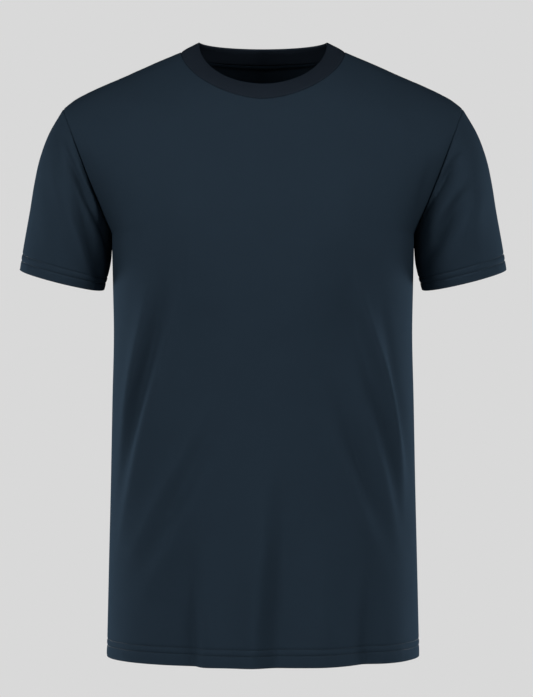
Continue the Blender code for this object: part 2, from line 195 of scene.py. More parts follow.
SLEEVE_RINGS = (
    RingRow(0.000, 0.2315, -0.0660, 0.1745, -0.2120, 0.0660, 0.0670),
    RingRow(0.167, 0.2480, -0.0940, 0.1757, -0.2275, 0.0690, 0.0710),
    RingRow(0.333, 0.2587, -0.1225, 0.1764, -0.2380, 0.0700, 0.0730),
    RingRow(0.500, 0.2652, -0.1510, 0.1776, -0.2470, 0.0690, 0.0720),
    RingRow(0.667, 0.2704, -0.1830, 0.1797, -0.2565, 0.0670, 0.0690),
    RingRow(0.833, 0.2764, -0.2160, 0.1824, -0.2668, 0.0640, 0.0650),
    RingRow(1.000, 0.2828, -0.2520, 0.1850, -0.2764, 0.0610, 0.0610),
)


class Fold(NamedTuple):
    """A soft ridge (height above 0) or trough between two places seen from the front.

    It bows aside in the middle. Right and left are how far it spreads to the -X and the +X side
    of its line, and a crispness under 2 gives it a sharper crest.
    """

    start_x: float
    start_z: float
    end_x: float
    end_z: float
    bow: float
    right: float
    left: float
    height: float
    crispness: float = 2.0


FRONT_FOLDS = (
    # From the wearer's right armpit down to the side
    Fold(-0.118, -0.230, -0.172, -0.545, -0.002, 0.0100, 0.0070, 0.0130, 1.6),
    Fold(-0.109, -0.245, -0.177, -0.560, 0.002, 0.0100, 0.0085, -0.0070, 1.7),
    Fold(-0.0713, -0.200, -0.1755, -0.625, -0.002, 0.0100, 0.0190, 0.0130, 1.6),
    Fold(-0.052, -0.385, -0.162, -0.610, 0.000, 0.0095, 0.0130, 0.0062, 1.7),
    Fold(-0.055, -0.415, -0.135, -0.610, 0.000, 0.0100, 0.0120, -0.0046),
    Fold(-0.045, -0.440, -0.147, -0.650, 0.000, 0.0110, 0.0140, 0.0046),
    # From the left armpit
    Fold(0.0950, -0.240, 0.1620, -0.560, 0.0118, 0.0075, 0.0070, 0.0125, 1.6),
    Fold(0.1280, -0.260, 0.1775, -0.535, 0.000, 0.0050, 0.0070, -0.0042),
    Fold(0.0860, -0.260, 0.1610, -0.600, 0.010, 0.0065, 0.0065, -0.0034),
    Fold(0.0935, -0.345, 0.1635, -0.620, 0.004, 0.0160, 0.0100, 0.0062),
    Fold(0.077, -0.370, 0.150, -0.600, 0.000, 0.0110, 0.0110, -0.0075),
    Fold(0.065, -0.400, 0.152, -0.620, 0.000, 0.0120, 0.0120, 0.0048),
    # Under the chest
    Fold(-0.090, -0.090, -0.092, -0.330, 0.000, 0.0280, 0.0360, 0.0045),
    Fold(0.090, -0.090, 0.092, -0.330, 0.000, 0.0360, 0.0280, 0.0045),
    Fold(-0.094, -0.185, -0.100, -0.430, 0.000, 0.0300, 0.0360, -0.0065),
    Fold(0.092, -0.185, 0.098, -0.430, 0.000, 0.0360, 0.0300, -0.0065),
    Fold(0.194, -0.120, 0.168, -0.235, 0.000, 0.0060, 0.0060, -0.0045),
    # Down to the hem
    Fold(-0.083, -0.535, -0.0775, -0.840, 0.000, 0.0420, 0.0090, -0.0115, 1.5),
    Fold(-0.068, -0.560, -0.064, -0.840, 0.000, 0.0090, 0.0200, 0.0040),
    Fold(0.010, -0.440, -0.026, -0.850, 0.000, 0.0200, 0.0140, 0.0084, 1.7),
    Fold(0.026, -0.470, 0.008, -0.850, 0.000, 0.0140, 0.0200, -0.0090, 1.7),
    Fold(0.066, -0.540, 0.070, -0.850, 0.000, 0.0200, 0.0200, 0.0050),
    Fold(0.118, -0.540, 0.123, -0.840, 0.000, 0.0200, 0.0130, -0.0120, 1.7),
    Fold(0.156, -0.540, 0.158, -0.840, 0.000, 0.0220, 0.0120, 0.0022),
)
BACK_FOLDS = (
    Fold(-0.128, -0.240, -0.176, -0.540, -0.004, 0.0120, 0.0080, 0.0060),
    Fold(-0.112, -0.255, -0.174, -0.560, 0.000, 0.0090, 0.0080, -0.0090, 1.7),
    Fold(-0.094, -0.285, -0.176, -0.640, -0.004, 0.0095, 0.0160, 0.0105, 1.7),
    Fold(-0.052, -0.380, -0.112, -0.660, 0.000, 0.0140, 0.0160, 0.0070),
    Fold(0.120, -0.245, 0.174, -0.550, 0.002, 0.0120, 0.0070, 0.0090, 1.5),
    Fold(0.104, -0.285, 0.168, -0.600, 0.002, 0.0100, 0.0100, -0.0080),
    Fold(0.086, -0.320, 0.160, -0.640, 0.002, 0.0160, 0.0110, 0.0080),
    Fold(0.046, -0.400, 0.084, -0.680, 0.000, 0.0160, 0.0160, 0.0050),
    Fold(-0.080, -0.110, -0.090, -0.330, 0.000, 0.0300, 0.0300, 0.0050),
    Fold(0.078, -0.110, 0.086, -0.330, 0.000, 0.0300, 0.0300, 0.0050),
    Fold(-0.002, -0.400, -0.006, -0.640, 0.004, 0.0200, 0.0200, -0.0060),
    Fold(-0.100, -0.540, -0.106, -0.830, 0.000, 0.0200, 0.0200, -0.0080),
    Fold(-0.060, -0.560, -0.056, -0.830, 0.000, 0.0090, 0.0240, 0.0064, 1.6),
    Fold(0.030, -0.560, 0.034, -0.830, 0.000, 0.0220, 0.0220, -0.0060),
    Fold(0.104, -0.540, 0.108, -0.830, 0.000, 0.0200, 0.0200, -0.0080),
)
# Folds of the sleeves, with X outwards on either arm. Each set lies in front on one sleeve and
# behind on the other.
NEAR_SEAM_FOLDS = (
    Fold(0.2360, -0.092, 0.1720, -0.248, -0.0015, 0.0040, 0.0040, -0.0095, 1.6),
    Fold(0.2240, -0.085, 0.1840, -0.300, -0.0126, 0.0045, 0.0130, 0.0080, 1.6),
    Fold(0.2440, -0.100, 0.2120, -0.250, 0.0000, 0.0200, 0.0100, 0.0042),
    Fold(0.2300, -0.150, 0.1890, -0.300, 0.0000, 0.0050, 0.0140, 0.0060, 1.6),
    Fold(0.2190, -0.140, 0.1780, -0.300, 0.0000, 0.0070, 0.0050, -0.0065, 1.7),
    Fold(0.2560, -0.150, 0.2200, -0.300, 0.0000, 0.0120, 0.0140, 0.0026),
)
ACROSS_ARM_FOLDS = (
    Fold(0.2360, -0.112, 0.1760, -0.196, -0.003, 0.0050, 0.0090, -0.0125, 1.5),
    Fold(0.2240, -0.085, 0.1760, -0.235, -0.001, 0.0045, 0.0120, 0.0040, 1.6),
    Fold(0.2460, -0.138, 0.1740, -0.232, -0.002, 0.0065, 0.0070, 0.0030),
    Fold(0.2420, -0.148, 0.1800, -0.262, -0.004, 0.0060, 0.0075, -0.0110),
    Fold(0.2560, -0.150, 0.1980, -0.280, -0.002, 0.0090, 0.0120, 0.0036),
    Fold(0.2420, -0.090, 0.2380, -0.300, 0.000, 0.0280, 0.0160, 0.0050),
)


def ease(share: Array) -> Array:
    """A smooth step, 0 below 0 and 1 above 1."""
    share = np.clip(share, 0.0, 1.0)
    return share * share * (3 - 2 * share)


def lift_of(folds: Sequence[Fold], x: Array, z: Array) -> Array:
    """How far the folds raise or sink the cloth.

    Args:
        folds: The folds that cross these places.
        x: Places seen from the front, across.
        z: The same places, up.

    Returns:
        The height of the folded cloth over the plain form at each place.
    """
    total = np.zeros_like(x)
    for fold in folds:
        run_x, run_z = fold.end_x - fold.start_x, fold.end_z - fold.start_z
        along = ((x - fold.start_x) * run_x + (z - fold.start_z) * run_z) / (run_x**2 + run_z**2)
        along = np.clip(along, 0.0, 1.0)
        off = x - (fold.start_x + run_x * along + fold.bow * 4 * along * (1 - along))
        spread = np.where(off > 0, fold.left, fold.right)
        crest = np.exp(-((np.abs(off) / spread) ** fold.crispness))
        total += fold.height * np.sin(math.pi * along) ** FOLD_FADE * crest
    return total


class Curve:
    """A smooth curve through the rows of a table, read at whole arrays of places at once."""

    def __init__(self, rows: Sequence[NamedTuple], key: str, column: str) -> None:
        """Reads one column of the rows along another.

        Args:
            rows: The table.
            key: The column that the curve runs along.
            column: The column that holds its values.
        """
        self.keys = np.array([getattr(row, key) for row in rows])
        self.values = np.array([getattr(row, column) for row in rows])
        self.slopes = np.gradient(self.values, self.keys)

    def at(self, place: Array) -> Array:
        """The curve's values at these places. Past its ends it goes on straight.

        Args:
            place: Places along the key column.

        Returns:
            The values.
        """
        held = np.clip(place, self.keys[0], self.keys[-1])
        low = np.clip(np.searchsorted(self.keys, held, side="right") - 1, 0, len(self.keys) - 2)
        span = self.keys[low + 1] - self.keys[low]
        t = (held - self.keys[low]) / span
        inside = (
            self.values[low] * (1 + 2 * t) * (1 - t) ** 2
            + self.slopes[low] * span * t * (1 - t) ** 2
            + self.values[low + 1] * t**2 * (3 - 2 * t)
            + self.slopes[low + 1] * span * t**2 * (t - 1)
        )
        beyond = np.where(place < self.keys[0], self.slopes[0], self.slopes[-1])
        return inside + beyond * (place - held)


@dataclass
class WornForm:
    """The rounded form that the body's cloth lies on when the shirt is filled out."""

    cut: Cut = Cut()
    ridge_rounding: float = 0.0880  # how far below the ridge the cloth starts to round over it
    armhole_openness: float = 0.60  # depth of the armhole as a share of the body's depth
    armhole_roundness: float = 3.0

    def __post_init__(self) -> None:
        """Reads the tables as curves."""
        self.side_width = Curve(SIDES, "height", "half_width")
        self.squareness = Curve(DEPTHS, "height", "squareness")
        self.ridge = Curve(RIDGE, "reach", "height")
        self.middle_depth = {
            Side.FRONT: Curve(DEPTHS, "height", "front"),
            Side.BACK: Curve(DEPTHS, "height", "back"),
        }

    def up_armhole(self, z: Array) -> Array:
        """How far up the armhole heights lie: 0 at the underarm and 1 at the shoulder tip."""
        return (z - self.cut.underarm[1]) / (self.cut.shoulder_tip[1] - self.cut.underarm[1])

    def edge(self, z: Array) -> Array:
        """How far from the centre a panel reaches: to its side seam or to the armhole.

        Args:
            z: Heights.

        Returns:
            The reach at each height.
        """
        low, high = self.cut.underarm[0], self.cut.shoulder_tip[0]
        on_armhole = low + (high - low) * self.up_armhole(z)
        return np.where(z <= self.cut.underarm[1], self.side_width.at(z), on_armhole)

    def half_width(self, z: Array, power: Array) -> Array:
        """Half-width of the whole section, which the armhole cuts off above the underarm.

        Args:
            z: Heights.
            power: The section's squareness at each.

        Returns:
            The half-widths.
        """
        closed = np.clip(1 - self.up_armhole(z), 0.0, 1.0) ** self.armhole_roundness
        openness = self.armhole_openness * np.sqrt(1 - closed)
        return self.edge(z) / (1 - openness**power) ** (1 / power)

    def fullness(self, x: Array, z: Array) -> Array:
        """How full the form is: 1 at its fullest and 0 at its edge.

        Args:
            x: Places seen from the front, across.
            z: The same places, up.

        Returns:
            The fullness at each place.
        """
        power = self.squareness.at(z)
        over = np.clip(1 - (self.ridge.at(np.abs(x)) - z) / self.ridge_rounding, 0.0, None)
        across = 1 - (np.abs(x) / self.half_width(z, power)) ** power
        return across * (1 - over**power)

    def depth(self, x: Array, z: Array, side: Side) -> Array:
        """How far in front of or behind the centre the form lies."""
        full = np.clip(self.fullness(x, z), 0.0, None)
        return self.middle_depth[side].at(z) * full ** (1 / self.squareness.at(z))

    def level(self, x: Array, y: Array, z: Array) -> Array:
        """0 on the form, negative inside it and positive outside.

        Args:
            x: Places across.
            y: Places from front to back.
            z: Heights.

        Returns:
            The level at each point.
        """
        deepest = np.where(
            y < 0, self.middle_depth[Side.FRONT].at(z), self.middle_depth[Side.BACK].at(z)
        )
        return (np.abs(y) / deepest) ** self.squareness.at(z) - self.fullness(x, z)

    def outwards(self, points: Array) -> Array:
        """The form's outward directions at points on it.

        Args:
            points: The points, as x, y, z.

        Returns:
            A unit direction for each.
        """
        step = 0.0002
        x, y, z = np.moveaxis(points, -1, 0)
        slope = np.stack(
            (
                self.level(x + step, y, z) - self.level(x - step, y, z),
                self.level(x, y + step, z) - self.level(x, y - step, z),
                self.level(x, y, z + step) - self.level(x, y, z - step),
            ),
            axis=-1,
        )
        return unit(slope)

    def neckline(self, side: Side, turn: Array) -> Array:
        """Points of the neckline's seam.

        Args:
            side: The panel whose neckline it is.
            turn: 0 on the centre line, and half of pi at the neck point to either side.

        Returns:
            The points, as x, y, z.
        """
        drop = self.cut.front_neck_drop if side == Side.FRONT else self.cut.back_neck_drop
        power = 2 / self.cut.neckline_power
        x = self.cut.neck_half_width * np.abs(np.sin(turn)) ** power
        z = -drop * np.abs(np.cos(turn)) ** power
        y = side.value * self.depth(x, z, side)
        return np.stack((np.copysign(x, turn), y, z), axis=-1)


def unit(vectors: Array) -> Array:
    """The vectors at a length of 1."""
    return vectors / np.maximum(np.linalg.norm(vectors, axis=-1, keepdims=True), NO_LENGTH)


def grid_outwards(points: Array, like: Array) -> Array:
    """Directions square to a grid of points.

    Args:
        points: The grid, by column and row.
        like: Rough outward directions at the same points, which settle the sign.

    Returns:
        The unit directions.
    """
    square = np.cross(np.gradient(points, axis=0), np.gradient(points, axis=1))
    facing = np.sum(square * like, axis=-1, keepdims=True)
    return unit(np.where(facing < 0, -square, square))


def read_along(places: Array, travelled: Array, vectors: Array) -> Array:
    """The vectors at places along a line, between those at the distances travelled."""
    return np.stack([np.interp(places, travelled, vectors[:, k]) for k in range(3)], axis=-1)


def run_along(points: Array, axis: int) -> Array:
    """Distances travelled along one axis of a grid, from its first column or row.

    Args:
        points: The grid, by column and row.
        axis: 0 to go from column to column, 1 from row to row.

    Returns:
        The distance at each point.
    """
    steps = np.linalg.norm(np.diff(points, axis=axis), axis=-1)
    start = np.zeros_like(np.take(steps, [0], axis=axis))
    return np.concatenate((start, np.cumsum(steps, axis=axis)), axis=axis)


def eased_ring(values: Array, spread: int) -> Array:
    """Values round a closed ring, whose last is its first again, with their corners rounded.

    Args:
        values: The values.
        spread: How many places on either side share in each one.

    Returns:
        The eased values.
    """
    reach = 3 * spread
    shifts = np.arange(-reach, reach + 1)
    weights = np.exp(-((shifts / spread) ** 2) / 2)
    once = values[:-1]
    eased = sum(weight * np.roll(once, shift) for weight, shift in zip(weights, shifts))
    return np.append(eased, eased[0]) / weights.sum()


def gathered(count: int, power: float) -> Array:
    """Places from 0 to 1 that lie closer together towards 1."""
    return 1 - np.linspace(1.0, 0.0, count) ** power


# --------------------------------------------------------------------------------------------
# Cloth shells
# --------------------------------------------------------------------------------------------


@dataclass(frozen=True)
class Rolled:
    """An edge that rolls under where it is sewn, so that the seam lies in a narrow valley."""

    width: float = 2.4 * MM
    depth: float = 1.0 * MM

    def sink(self, distance: Array) -> Array:
        """How far the cloth sinks at these distances from the seam."""
        near = np.clip(1 - distance / self.width, 0.0, 1.0)
        return self.depth * (1 - np.sqrt(1 - near**2))


@dataclass(frozen=True)
class Pucker:
    """Small ripples that sewing leaves along a seam."""

    height: float
    reach: float
    pitch: float
    waves: tuple[float, ...] = (0.63, 1.0, 1.47)  # how often each fits into the pitch
    patchiness: float = 0.4  # how much a wave comes and goes along the seam
    patch_turn: float = 21.0  # how fast it does so, in radians a metre

    def lift(self, along: Array, distance: Array, seed: int) -> Array:
        """How far the ripples raise the cloth.

        Args:
            along: Distances along the seam.
            distance: Distances from it.
            seed: Fixes the unevenness.

        Returns:
            The heights, uneven along the seam and fading out away from it.
        """
        random = np.random.default_rng(seed)
        total = np.zeros_like(along)
        for share in self.waves:
            phase, drift = random.uniform(0, 2 * math.pi, 2)
            wave = np.sin(2 * math.pi * along * share / self.pitch + phase)
            patch = np.sin(along * self.patch_turn * share + drift)
            total += wave * (1 - self.patchiness + self.patchiness * patch)
        return total * self.height / len(self.waves) * np.exp(-((distance / self.reach) ** 2))


@dataclass(frozen=True)
class Ripples:
    """Faint, uneven waves that soft cloth keeps all over."""

    height: float
    longest: float = 0.110
    shrink: float = 0.85  # length of each wave as a share of the one before
    count: int = 14
    together: int = 3  # waves that add up to the height
    lean: float = 1.1  # how far a wave may lie out of true, in radians
    turn: float = 6.3  # radians to a wavelength
    patch_turn: float = 1.7  # radians to a wavelength, of its coming and going

    def lift(self, x: Array, z: Array, seed: int) -> Array:
        """How far the waves raise the cloth.

        Args:
            x: Places seen from the front, across.
            z: The same places, up.
            seed: Fixes the waves.

        Returns:
            The heights.
        """
        random = np.random.default_rng(seed)
        total = np.zeros_like(x)
        for step in range(self.count):
            length = self.longest * self.shrink**step
            low, high = (-self.lean, 0.0, 0.0), (self.lean, self.turn, self.turn)
            lean, phase, drift = random.uniform(low, high)
            run = x * math.cos(lean) + z * math.sin(lean)
            aside = z * math.cos(lean) - x * math.sin(lean)
            wave = np.sin(run * self.turn / length + phase)
            patch = 0.5 + 0.5 * np.sin(aside * self.patch_turn / length + drift)
            total += wave * patch * length / self.longest
        return total * self.height / self.together


@dataclass(frozen=True)
class Hem:
    """A hem that is turned up inside and sewn down with a twin needle.

    Heights are measured from the hem's edge, and turns are in radians a metre.
    """

    needle_rows: tuple[float, float]
    turned_up: float
    thread_sink: float = 0.70 * MM
    thread_width: float = 0.85 * MM
    pillow: float = 0.30 * MM  # how far the cloth rises between the rows
    low_pillow: float = 0.7  # the rise below them, as a share of that
    fold_radius: float = 1.0 * MM
    calm: float = 28 * MM  # height over which the rows are spaced for the sewing
    sewn_height: float = 40 * MM  # the sewing shapes the cloth up to here
    sewn_fade: float = 12 * MM
    inside_rows: int = 7
    fold_rows: int = 8
    outside_rows: int = 15
    close_rows: tuple[float, ...] = (-1.6, -0.8, 0.0, 0.8, 1.6)  # thread widths from a needle row
    row_gap: float = 2.2  # thread widths that are kept clear of other rows round a needle row
    drag: float = 0.10 * MM  # height of the slanting ripples that the needles drag up
    drag_runs: tuple[float, float] = (2.1 * MM, 3.4 * MM)  # cloth to a radian of each
    drag_slants: tuple[float, float] = (120.0, -60.0)  # turns of each for a metre of height
    drag_patch: float = 34.0  # turns of their coming and going
    drag_patchiness: float = 0.45
    edge_wave: float = 0.35 * MM  # height of the edge's own slow waves
    wave_turns: tuple[float, float] = (62.0, 131.0)
    wave_shares: tuple[float, float] = (1.0, 0.7)
    wave_reach: float = 14 * MM

    def profile(self) -> tuple[Array, Array]:
        """The hem's rows, from its raw edge inside, down round its fold and up outside.

        Returns:
            The height of each row, and how far it lies inside the outer face.
        """
        radius, width = self.fold_radius, self.thread_width
        above_fold = 1.6 * radius
        inside = np.linspace(self.turned_up, above_fold, self.inside_rows)
        turn = np.linspace(0.0, math.pi, self.fold_rows)
        outside = np.linspace(above_fold, self.calm, self.outside_rows)
        for row in self.needle_rows:
            close = row + np.array(self.close_rows) * width
            outside = outside[np.abs(outside - row) > self.row_gap * width]
            outside = np.sort(np.concatenate((outside, close)))
        heights = np.concatenate((inside, radius * (1 - np.sin(turn)), outside))
        insets = np.concatenate(
            (np.full(len(inside), 2 * radius), radius * (1 + np.cos(turn)), np.zeros(len(outside)))
        )
        return heights, insets

    def sewn_rows(self) -> tuple[int, ...]:
        """Which rows of the profile carry the stitches."""
        heights, insets = self.profile()
        return tuple(int(np.argmin(np.abs(heights - row) + insets)) for row in self.needle_rows)

    def relief(self, height: Array, along: Array, seed: int) -> Array:
        """How far the sewing raises or sinks the outer face.

        Args:
            height: Heights above the hem's edge.
            along: Distances round the hem.
            seed: Fixes the unevenness.

        Returns:
            The offsets.
        """
        total = np.zeros_like(height)
        for row in self.needle_rows:
            total -= self.thread_sink * np.exp(-(((height - row) / self.thread_width) ** 2))
        low, high = self.needle_rows
        between = np.clip((height - low) / (high - low), 0.0, 1.0)
        below = np.clip(height / low, 0.0, 1.0)
        total += self.pillow * (np.sin(math.pi * between) + self.low_pillow * np.sin(math.pi * below))
        phases = np.random.default_rng(seed).uniform(0, 2 * math.pi, 4)
        drag = np.zeros_like(height)
        for run, slant, phase in zip(self.drag_runs, self.drag_slants, phases):
            drag += np.sin(along / run + height * slant + phase)
        patch = np.sin(along * self.drag_patch + phases[2])
        drag *= 1 - self.drag_patchiness + self.drag_patchiness * patch
        middle = high / 2 + 1 * MM
        near_rows = np.clip(1 - np.abs(height - middle) / (1.5 * middle), 0.0, 1.0)
        total += self.drag * drag * near_rows
        wave = np.zeros_like(height)
        for turn, share, phase in zip(self.wave_turns, self.wave_shares, phases[[3, 1]]):
            wave += share * np.sin(along * turn + phase)
        total += self.edge_wave * wave * np.exp(-((height / self.wave_reach) ** 2))
        return total * ease((self.sewn_height - height) / self.sewn_fade)


@dataclass
class Shell:
    """A grid of cloth: its outer points, its outward directions and its own flat measure."""

    points: Array
    outwards: Array
    flat: Array
    sewn_rows: tuple[int, ...]

    def border(self, which: Border, distances: Array) -> tuple[Array, Array]:
        """Places a few millimetres in from a border.

        Args:
            which: The border to follow.
            distances: How far in from it.

        Returns:
            The points and the outward directions, by place along the border and distance.
        """
        points, outwards = self.points, self.outwards
        if which in (Border.FIRST_COLUMN, Border.LAST_COLUMN):
            points, outwards = points.swapaxes(0, 1), outwards.swapaxes(0, 1)
        if which in (Border.LAST_ROW, Border.LAST_COLUMN):
            points, outwards = points[:, ::-1], outwards[:, ::-1]
        travelled = run_along(points, 1)

        def read(vectors: Array) -> Array:
            """The vectors at those distances from each place along the border."""
            lines = zip(travelled, vectors)
            return np.stack([read_along(distances, line, part) for line, part in lines])

        return read(points), unit(read(outwards))


def lay(points: Array, flat: Array, closed: bool = False) -> bmesh.types.BMesh:
    """Lays a bmesh grid on points, with a UV map in metres.

    Args:
        points: Where each corner goes, by column and row.
        flat: Each corner's place on the flat cloth.
        closed: Whether borders that meet are merged.

    Returns:
        The grid. It faces the way that columns crossed with rows point.
    """
    columns, rows = points.shape[:2]
    shape = bmesh.new()
    bmesh.ops.create_grid(shape, x_segments=columns - 1, y_segments=rows - 1, size=0.5)
    shape.verts.index_update()
    column = [round((vert.co.x + 0.5) * (columns - 1)) for vert in shape.verts]
    row = [round((vert.co.y + 0.5) * (rows - 1)) for vert in shape.verts]
    uv_layer = shape.loops.layers.uv.new(UV_NAME)
    for face in shape.faces:
        for loop in face.loops:
            at = loop.vert.index
            loop[uv_layer].uv = flat[column[at], row[at]]
    for vert in shape.verts:
        vert.co = points[column[vert.index], row[vert.index]]
    if closed:
        bmesh.ops.remove_doubles(shape, verts=shape.verts, dist=SAME_POINT)
    return shape


def add_piece(
    name: str,
    shape: bmesh.types.BMesh,
    materials: Sequence[bpy.types.Material],
    node: str | None = None,
) -> bpy.types.Object:
    """Puts a finished shape in the scene, riding on the shirt.

    Args:
        name: The piece's name.
        shape: Its shape, which is freed.
        materials: Its materials.
        node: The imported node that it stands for, if any.

    Returns:
        The piece.
    """
    mesh = bpy.data.meshes.new(name)
    shape.to_mesh(mesh)
    shape.free()
    mesh.shade_smooth()
    for material in materials:
        mesh.materials.append(material)
    piece = bpy.data.objects.new(name, mesh)
    bpy.context.scene.collection.objects.link(piece)
    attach(piece, BODY)
    if node:
        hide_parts(node)
    LOG.info("%s: %d faces", name, len(mesh.polygons))
    return piece


def thicken(piece: bpy.types.Object, thickness: float) -> None:
    """Gives a shell its wall, inwards, with the second material on its inner side.

    Args:
        piece: The shell.
        thickness: Thickness of the wall.
    """
    wall = piece.modifiers.new("wall", "SOLIDIFY")
    wall.thickness = thickness
    wall.offset = -1.0
    wall.use_even_offset = True
    wall.use_rim = True
    wall.material_offset = 1


# --------------------------------------------------------------------------------------------
# Shader nodes
# --------------------------------------------------------------------------------------------


class Term:
    """A number that changes over a surface. Sums on it add Math nodes."""

    def __init__(self, graph: Graph, socket: bpy.types.NodeSocket) -> None:
        """Wraps a socket of a graph's tree."""
        self.graph = graph
        self.socket = socket

    def __add__(self, other: Term | float) -> Term:
        """The sum."""
        return self.graph.math("ADD", self, other)

    __radd__ = __add__

    def __sub__(self, other: Term | float) -> Term:
        """The difference."""
        return self.graph.math("SUBTRACT", self, other)

    def __rsub__(self, other: Term | float) -> Term:
        """The difference from a number."""
        return self.graph.math("SUBTRACT", other, self)

    def __mul__(self, other: Term | float) -> Term:
        """The product."""
        return self.graph.math("MULTIPLY", self, other)

    __rmul__ = __mul__

    def __truediv__(self, other: Term | float) -> Term:
        """The quotient."""
        return self.graph.math("DIVIDE", self, other)


Input = Term | float | tuple[float, ...] | bpy.types.NodeSocket


def shaded(colour: Colour, share: float) -> Colour:
    """The colour at a share of its brightness."""
    return tuple(part * share for part in colour)


def grey(value: float) -> tuple[float, ...]:
    """A grey with its alpha."""
    return (value, value, value, 1.0)


class Graph:
    """The node tree of a material or of the world."""

    def __init__(self, owner: bpy.types.Material | bpy.types.World) -> None:
        """Empties the owner's tree.

        Args:
            owner: The material or the world.
        """
        owner.use_nodes = True
        self.tree = owner.node_tree
        self.tree.nodes.clear()

    def node(
        self,
        kind: str,
        settings: dict[str, object] | None = None,
        inputs: dict[str | int, Input] | None = None,
    ) -> bpy.types.Node:
        """Adds a node.

        Args:
            kind: The node's type.
            settings: Its properties, which are set first.
            inputs: Values or links of its sockets, by name or number.

        Returns:
            The node.
        """
        made = self.tree.nodes.new(kind)
        for key, value in (settings or {}).items():
            setattr(made, key, value)
        for key, value in (inputs or {}).items():
            if isinstance(value, Term):
                self.tree.links.new(value.socket, made.inputs[key])
            elif isinstance(value, bpy.types.NodeSocket):
                self.tree.links.new(value, made.inputs[key])
            else:
                made.inputs[key].default_value = value
        return made

    def math(self, operation: str, *values: Term | float) -> Term:
        """The result of a Math node on terms and numbers."""
        made = self.node("ShaderNodeMath", {"operation": operation}, dict(enumerate(values)))
        return Term(self, made.outputs[0])

    def sin(self, angle: Term) -> Term:
        """The sine of an angle in radians."""
        return self.math("SINE", angle)

    def cos(self, angle: Term) -> Term:
        """The cosine of an angle in radians."""
        return self.math("COSINE", angle)

    def noise(self, scale: float, detail: float = 2.0, roughness: float = 0.5) -> Term:
        """Noise over the object, from 0 to 1, with patches of 1 / scale metres.

        Args:
            scale: How many patches lie in a metre.
            detail: How many finer layers it has.
            roughness: How strong those are.

        Returns:
            The noise.
        """
        place = self.node("ShaderNodeTexCoord").outputs["Object"]
        made = self.node(
            "ShaderNodeTexNoise",
            {"noise_dimensions": "3D"},
            {"Vector": place, "Scale": scale, "Detail": detail, "Roughness": roughness},
        )
        return Term(self, made.outputs["Fac"])

    def cloth_place(self) -> tuple[Term, Term]:
        """The place on the flat cloth, in metres: across its wales, and along them.

        Returns:
            Both places.
        """
        uv = self.node("ShaderNodeUVMap", {"uv_map": UV_NAME}).outputs[0]
        parts = self.node("ShaderNodeSeparateXYZ", inputs={0: uv})
        return Term(self, parts.outputs[0]), Term(self, parts.outputs[1])

    def tint(self, share: Term, colour: Colour, low: float, high: float) -> Input:
        """A colour that varies, from one share of its brightness to another.

        Args:
            share: 0 at the first and 1 at the second.
            colour: The colour.
            low: The first share.
            high: The second share.

        Returns:
            The colour's socket.
        """
        made = self.node(
            "ShaderNodeMix",
            {"data_type": "RGBA"},
            {0: share, 6: (*shaded(colour, low), 1.0), 7: (*shaded(colour, high), 1.0)},
        )
        return made.outputs[2]

    def surface(self, inputs: dict[str | int, Input], relief: Term, depth: float) -> None:
        """Ends the tree in a Principled surface.

        Args:
            inputs: The shader's inputs.
            relief: The surface's fine relief, from 0 to 1.
            depth: How deep that relief is, in metres.
        """
        bump = self.node("ShaderNodeBump", inputs={"Distance": depth, "Height": relief})
        shader = self.node(
            "ShaderNodeBsdfPrincipled", inputs={**inputs, "Normal": bump.outputs[0]}
        )
        self.node("ShaderNodeOutputMaterial", inputs={"Surface": shader.outputs[0]})


class KnitFace(Enum):
    """Which side of a knit shows."""

    FACE = "face"
    REVERSE = "reverse"
    RIB = "rib"


@dataclass(frozen=True)
class Knit:
    """A knitted cloth: its yarn colour, and stitches at their real size."""

    name: str
    face: KnitFace
    colour: Colour
    wale: float = 0.72 * MM  # width of a stitch
    course: float = 0.52 * MM  # height of a stitch
    relief: float = 0.10 * MM
    roughness: float = 0.80
    heather_and_groove_shade: float = 0.10  # how much the colour varies, as a share of itself: at random, and with painted shade in the stitches' grooves
    climb: float = 1.1  # courses that a stitch's legs climb over the width of a stitch
    patch_scale: float = 42.0
    fibre_scale: float = 2600.0

    def stitches(self, graph: Graph) -> Term:
        """The relief of the stitches, from 0 to 1.

        Args:
            graph: The cloth's tree.

        Returns:
            The relief.
        """
        across, along = graph.cloth_place()
        turn = 2 * math.pi
        if self.face == KnitFace.REVERSE:
            loops = graph.cos(along * (turn / self.course)) * 0.30
            arcs = graph.cos(across * (turn / self.wale)) * 0.20
            return loops + arcs + 0.5
        from_middle = graph.math("FRACT", across / self.wale) - 0.5
        climbed = graph.math("ABSOLUTE", from_middle) * self.climb
        legs = graph.sin((along / self.course + climbed) * turn)
        crown = graph.cos(from_middle * math.pi)
        relief = crown * 0.62 + crown * legs * 0.24 + 0.08
        if self.face == KnitFace.RIB:
            ribs = graph.cos(across * (turn / (2 * self.wale))) * 0.5 + 0.5
            return relief * 0.45 + ribs * 0.55
        return relief

    def build(self) -> bpy.types.Material:
        """Makes the cloth's material.

        Returns:
            The material.
        """
        material = bpy.data.materials.new(self.name)
        graph = Graph(material)
        stitches = self.stitches(graph)
        patches = graph.noise(self.patch_scale, detail=3.0)
        fibres = graph.noise(self.fibre_scale)
        # Colour follows random patches and fibres, and also the stitches' relief: painted shade, darker
        # in the grooves between stitches.
        tone_and_groove_shade = patches * 0.35 + fibres * 0.35 + stitches * 0.30
        graph.surface(
            {
                "Base Color": graph.tint(tone_and_groove_shade, self.colour, 1 - self.heather_and_groove_shade, 1 + self.heather_and_groove_shade),
                "Roughness": fibres * 0.10 + (self.roughness - 0.05),
                "Specular IOR Level": 0.0,
            },
            stitches * 0.8 + fibres * 0.2,
            self.relief,
        )
        return material


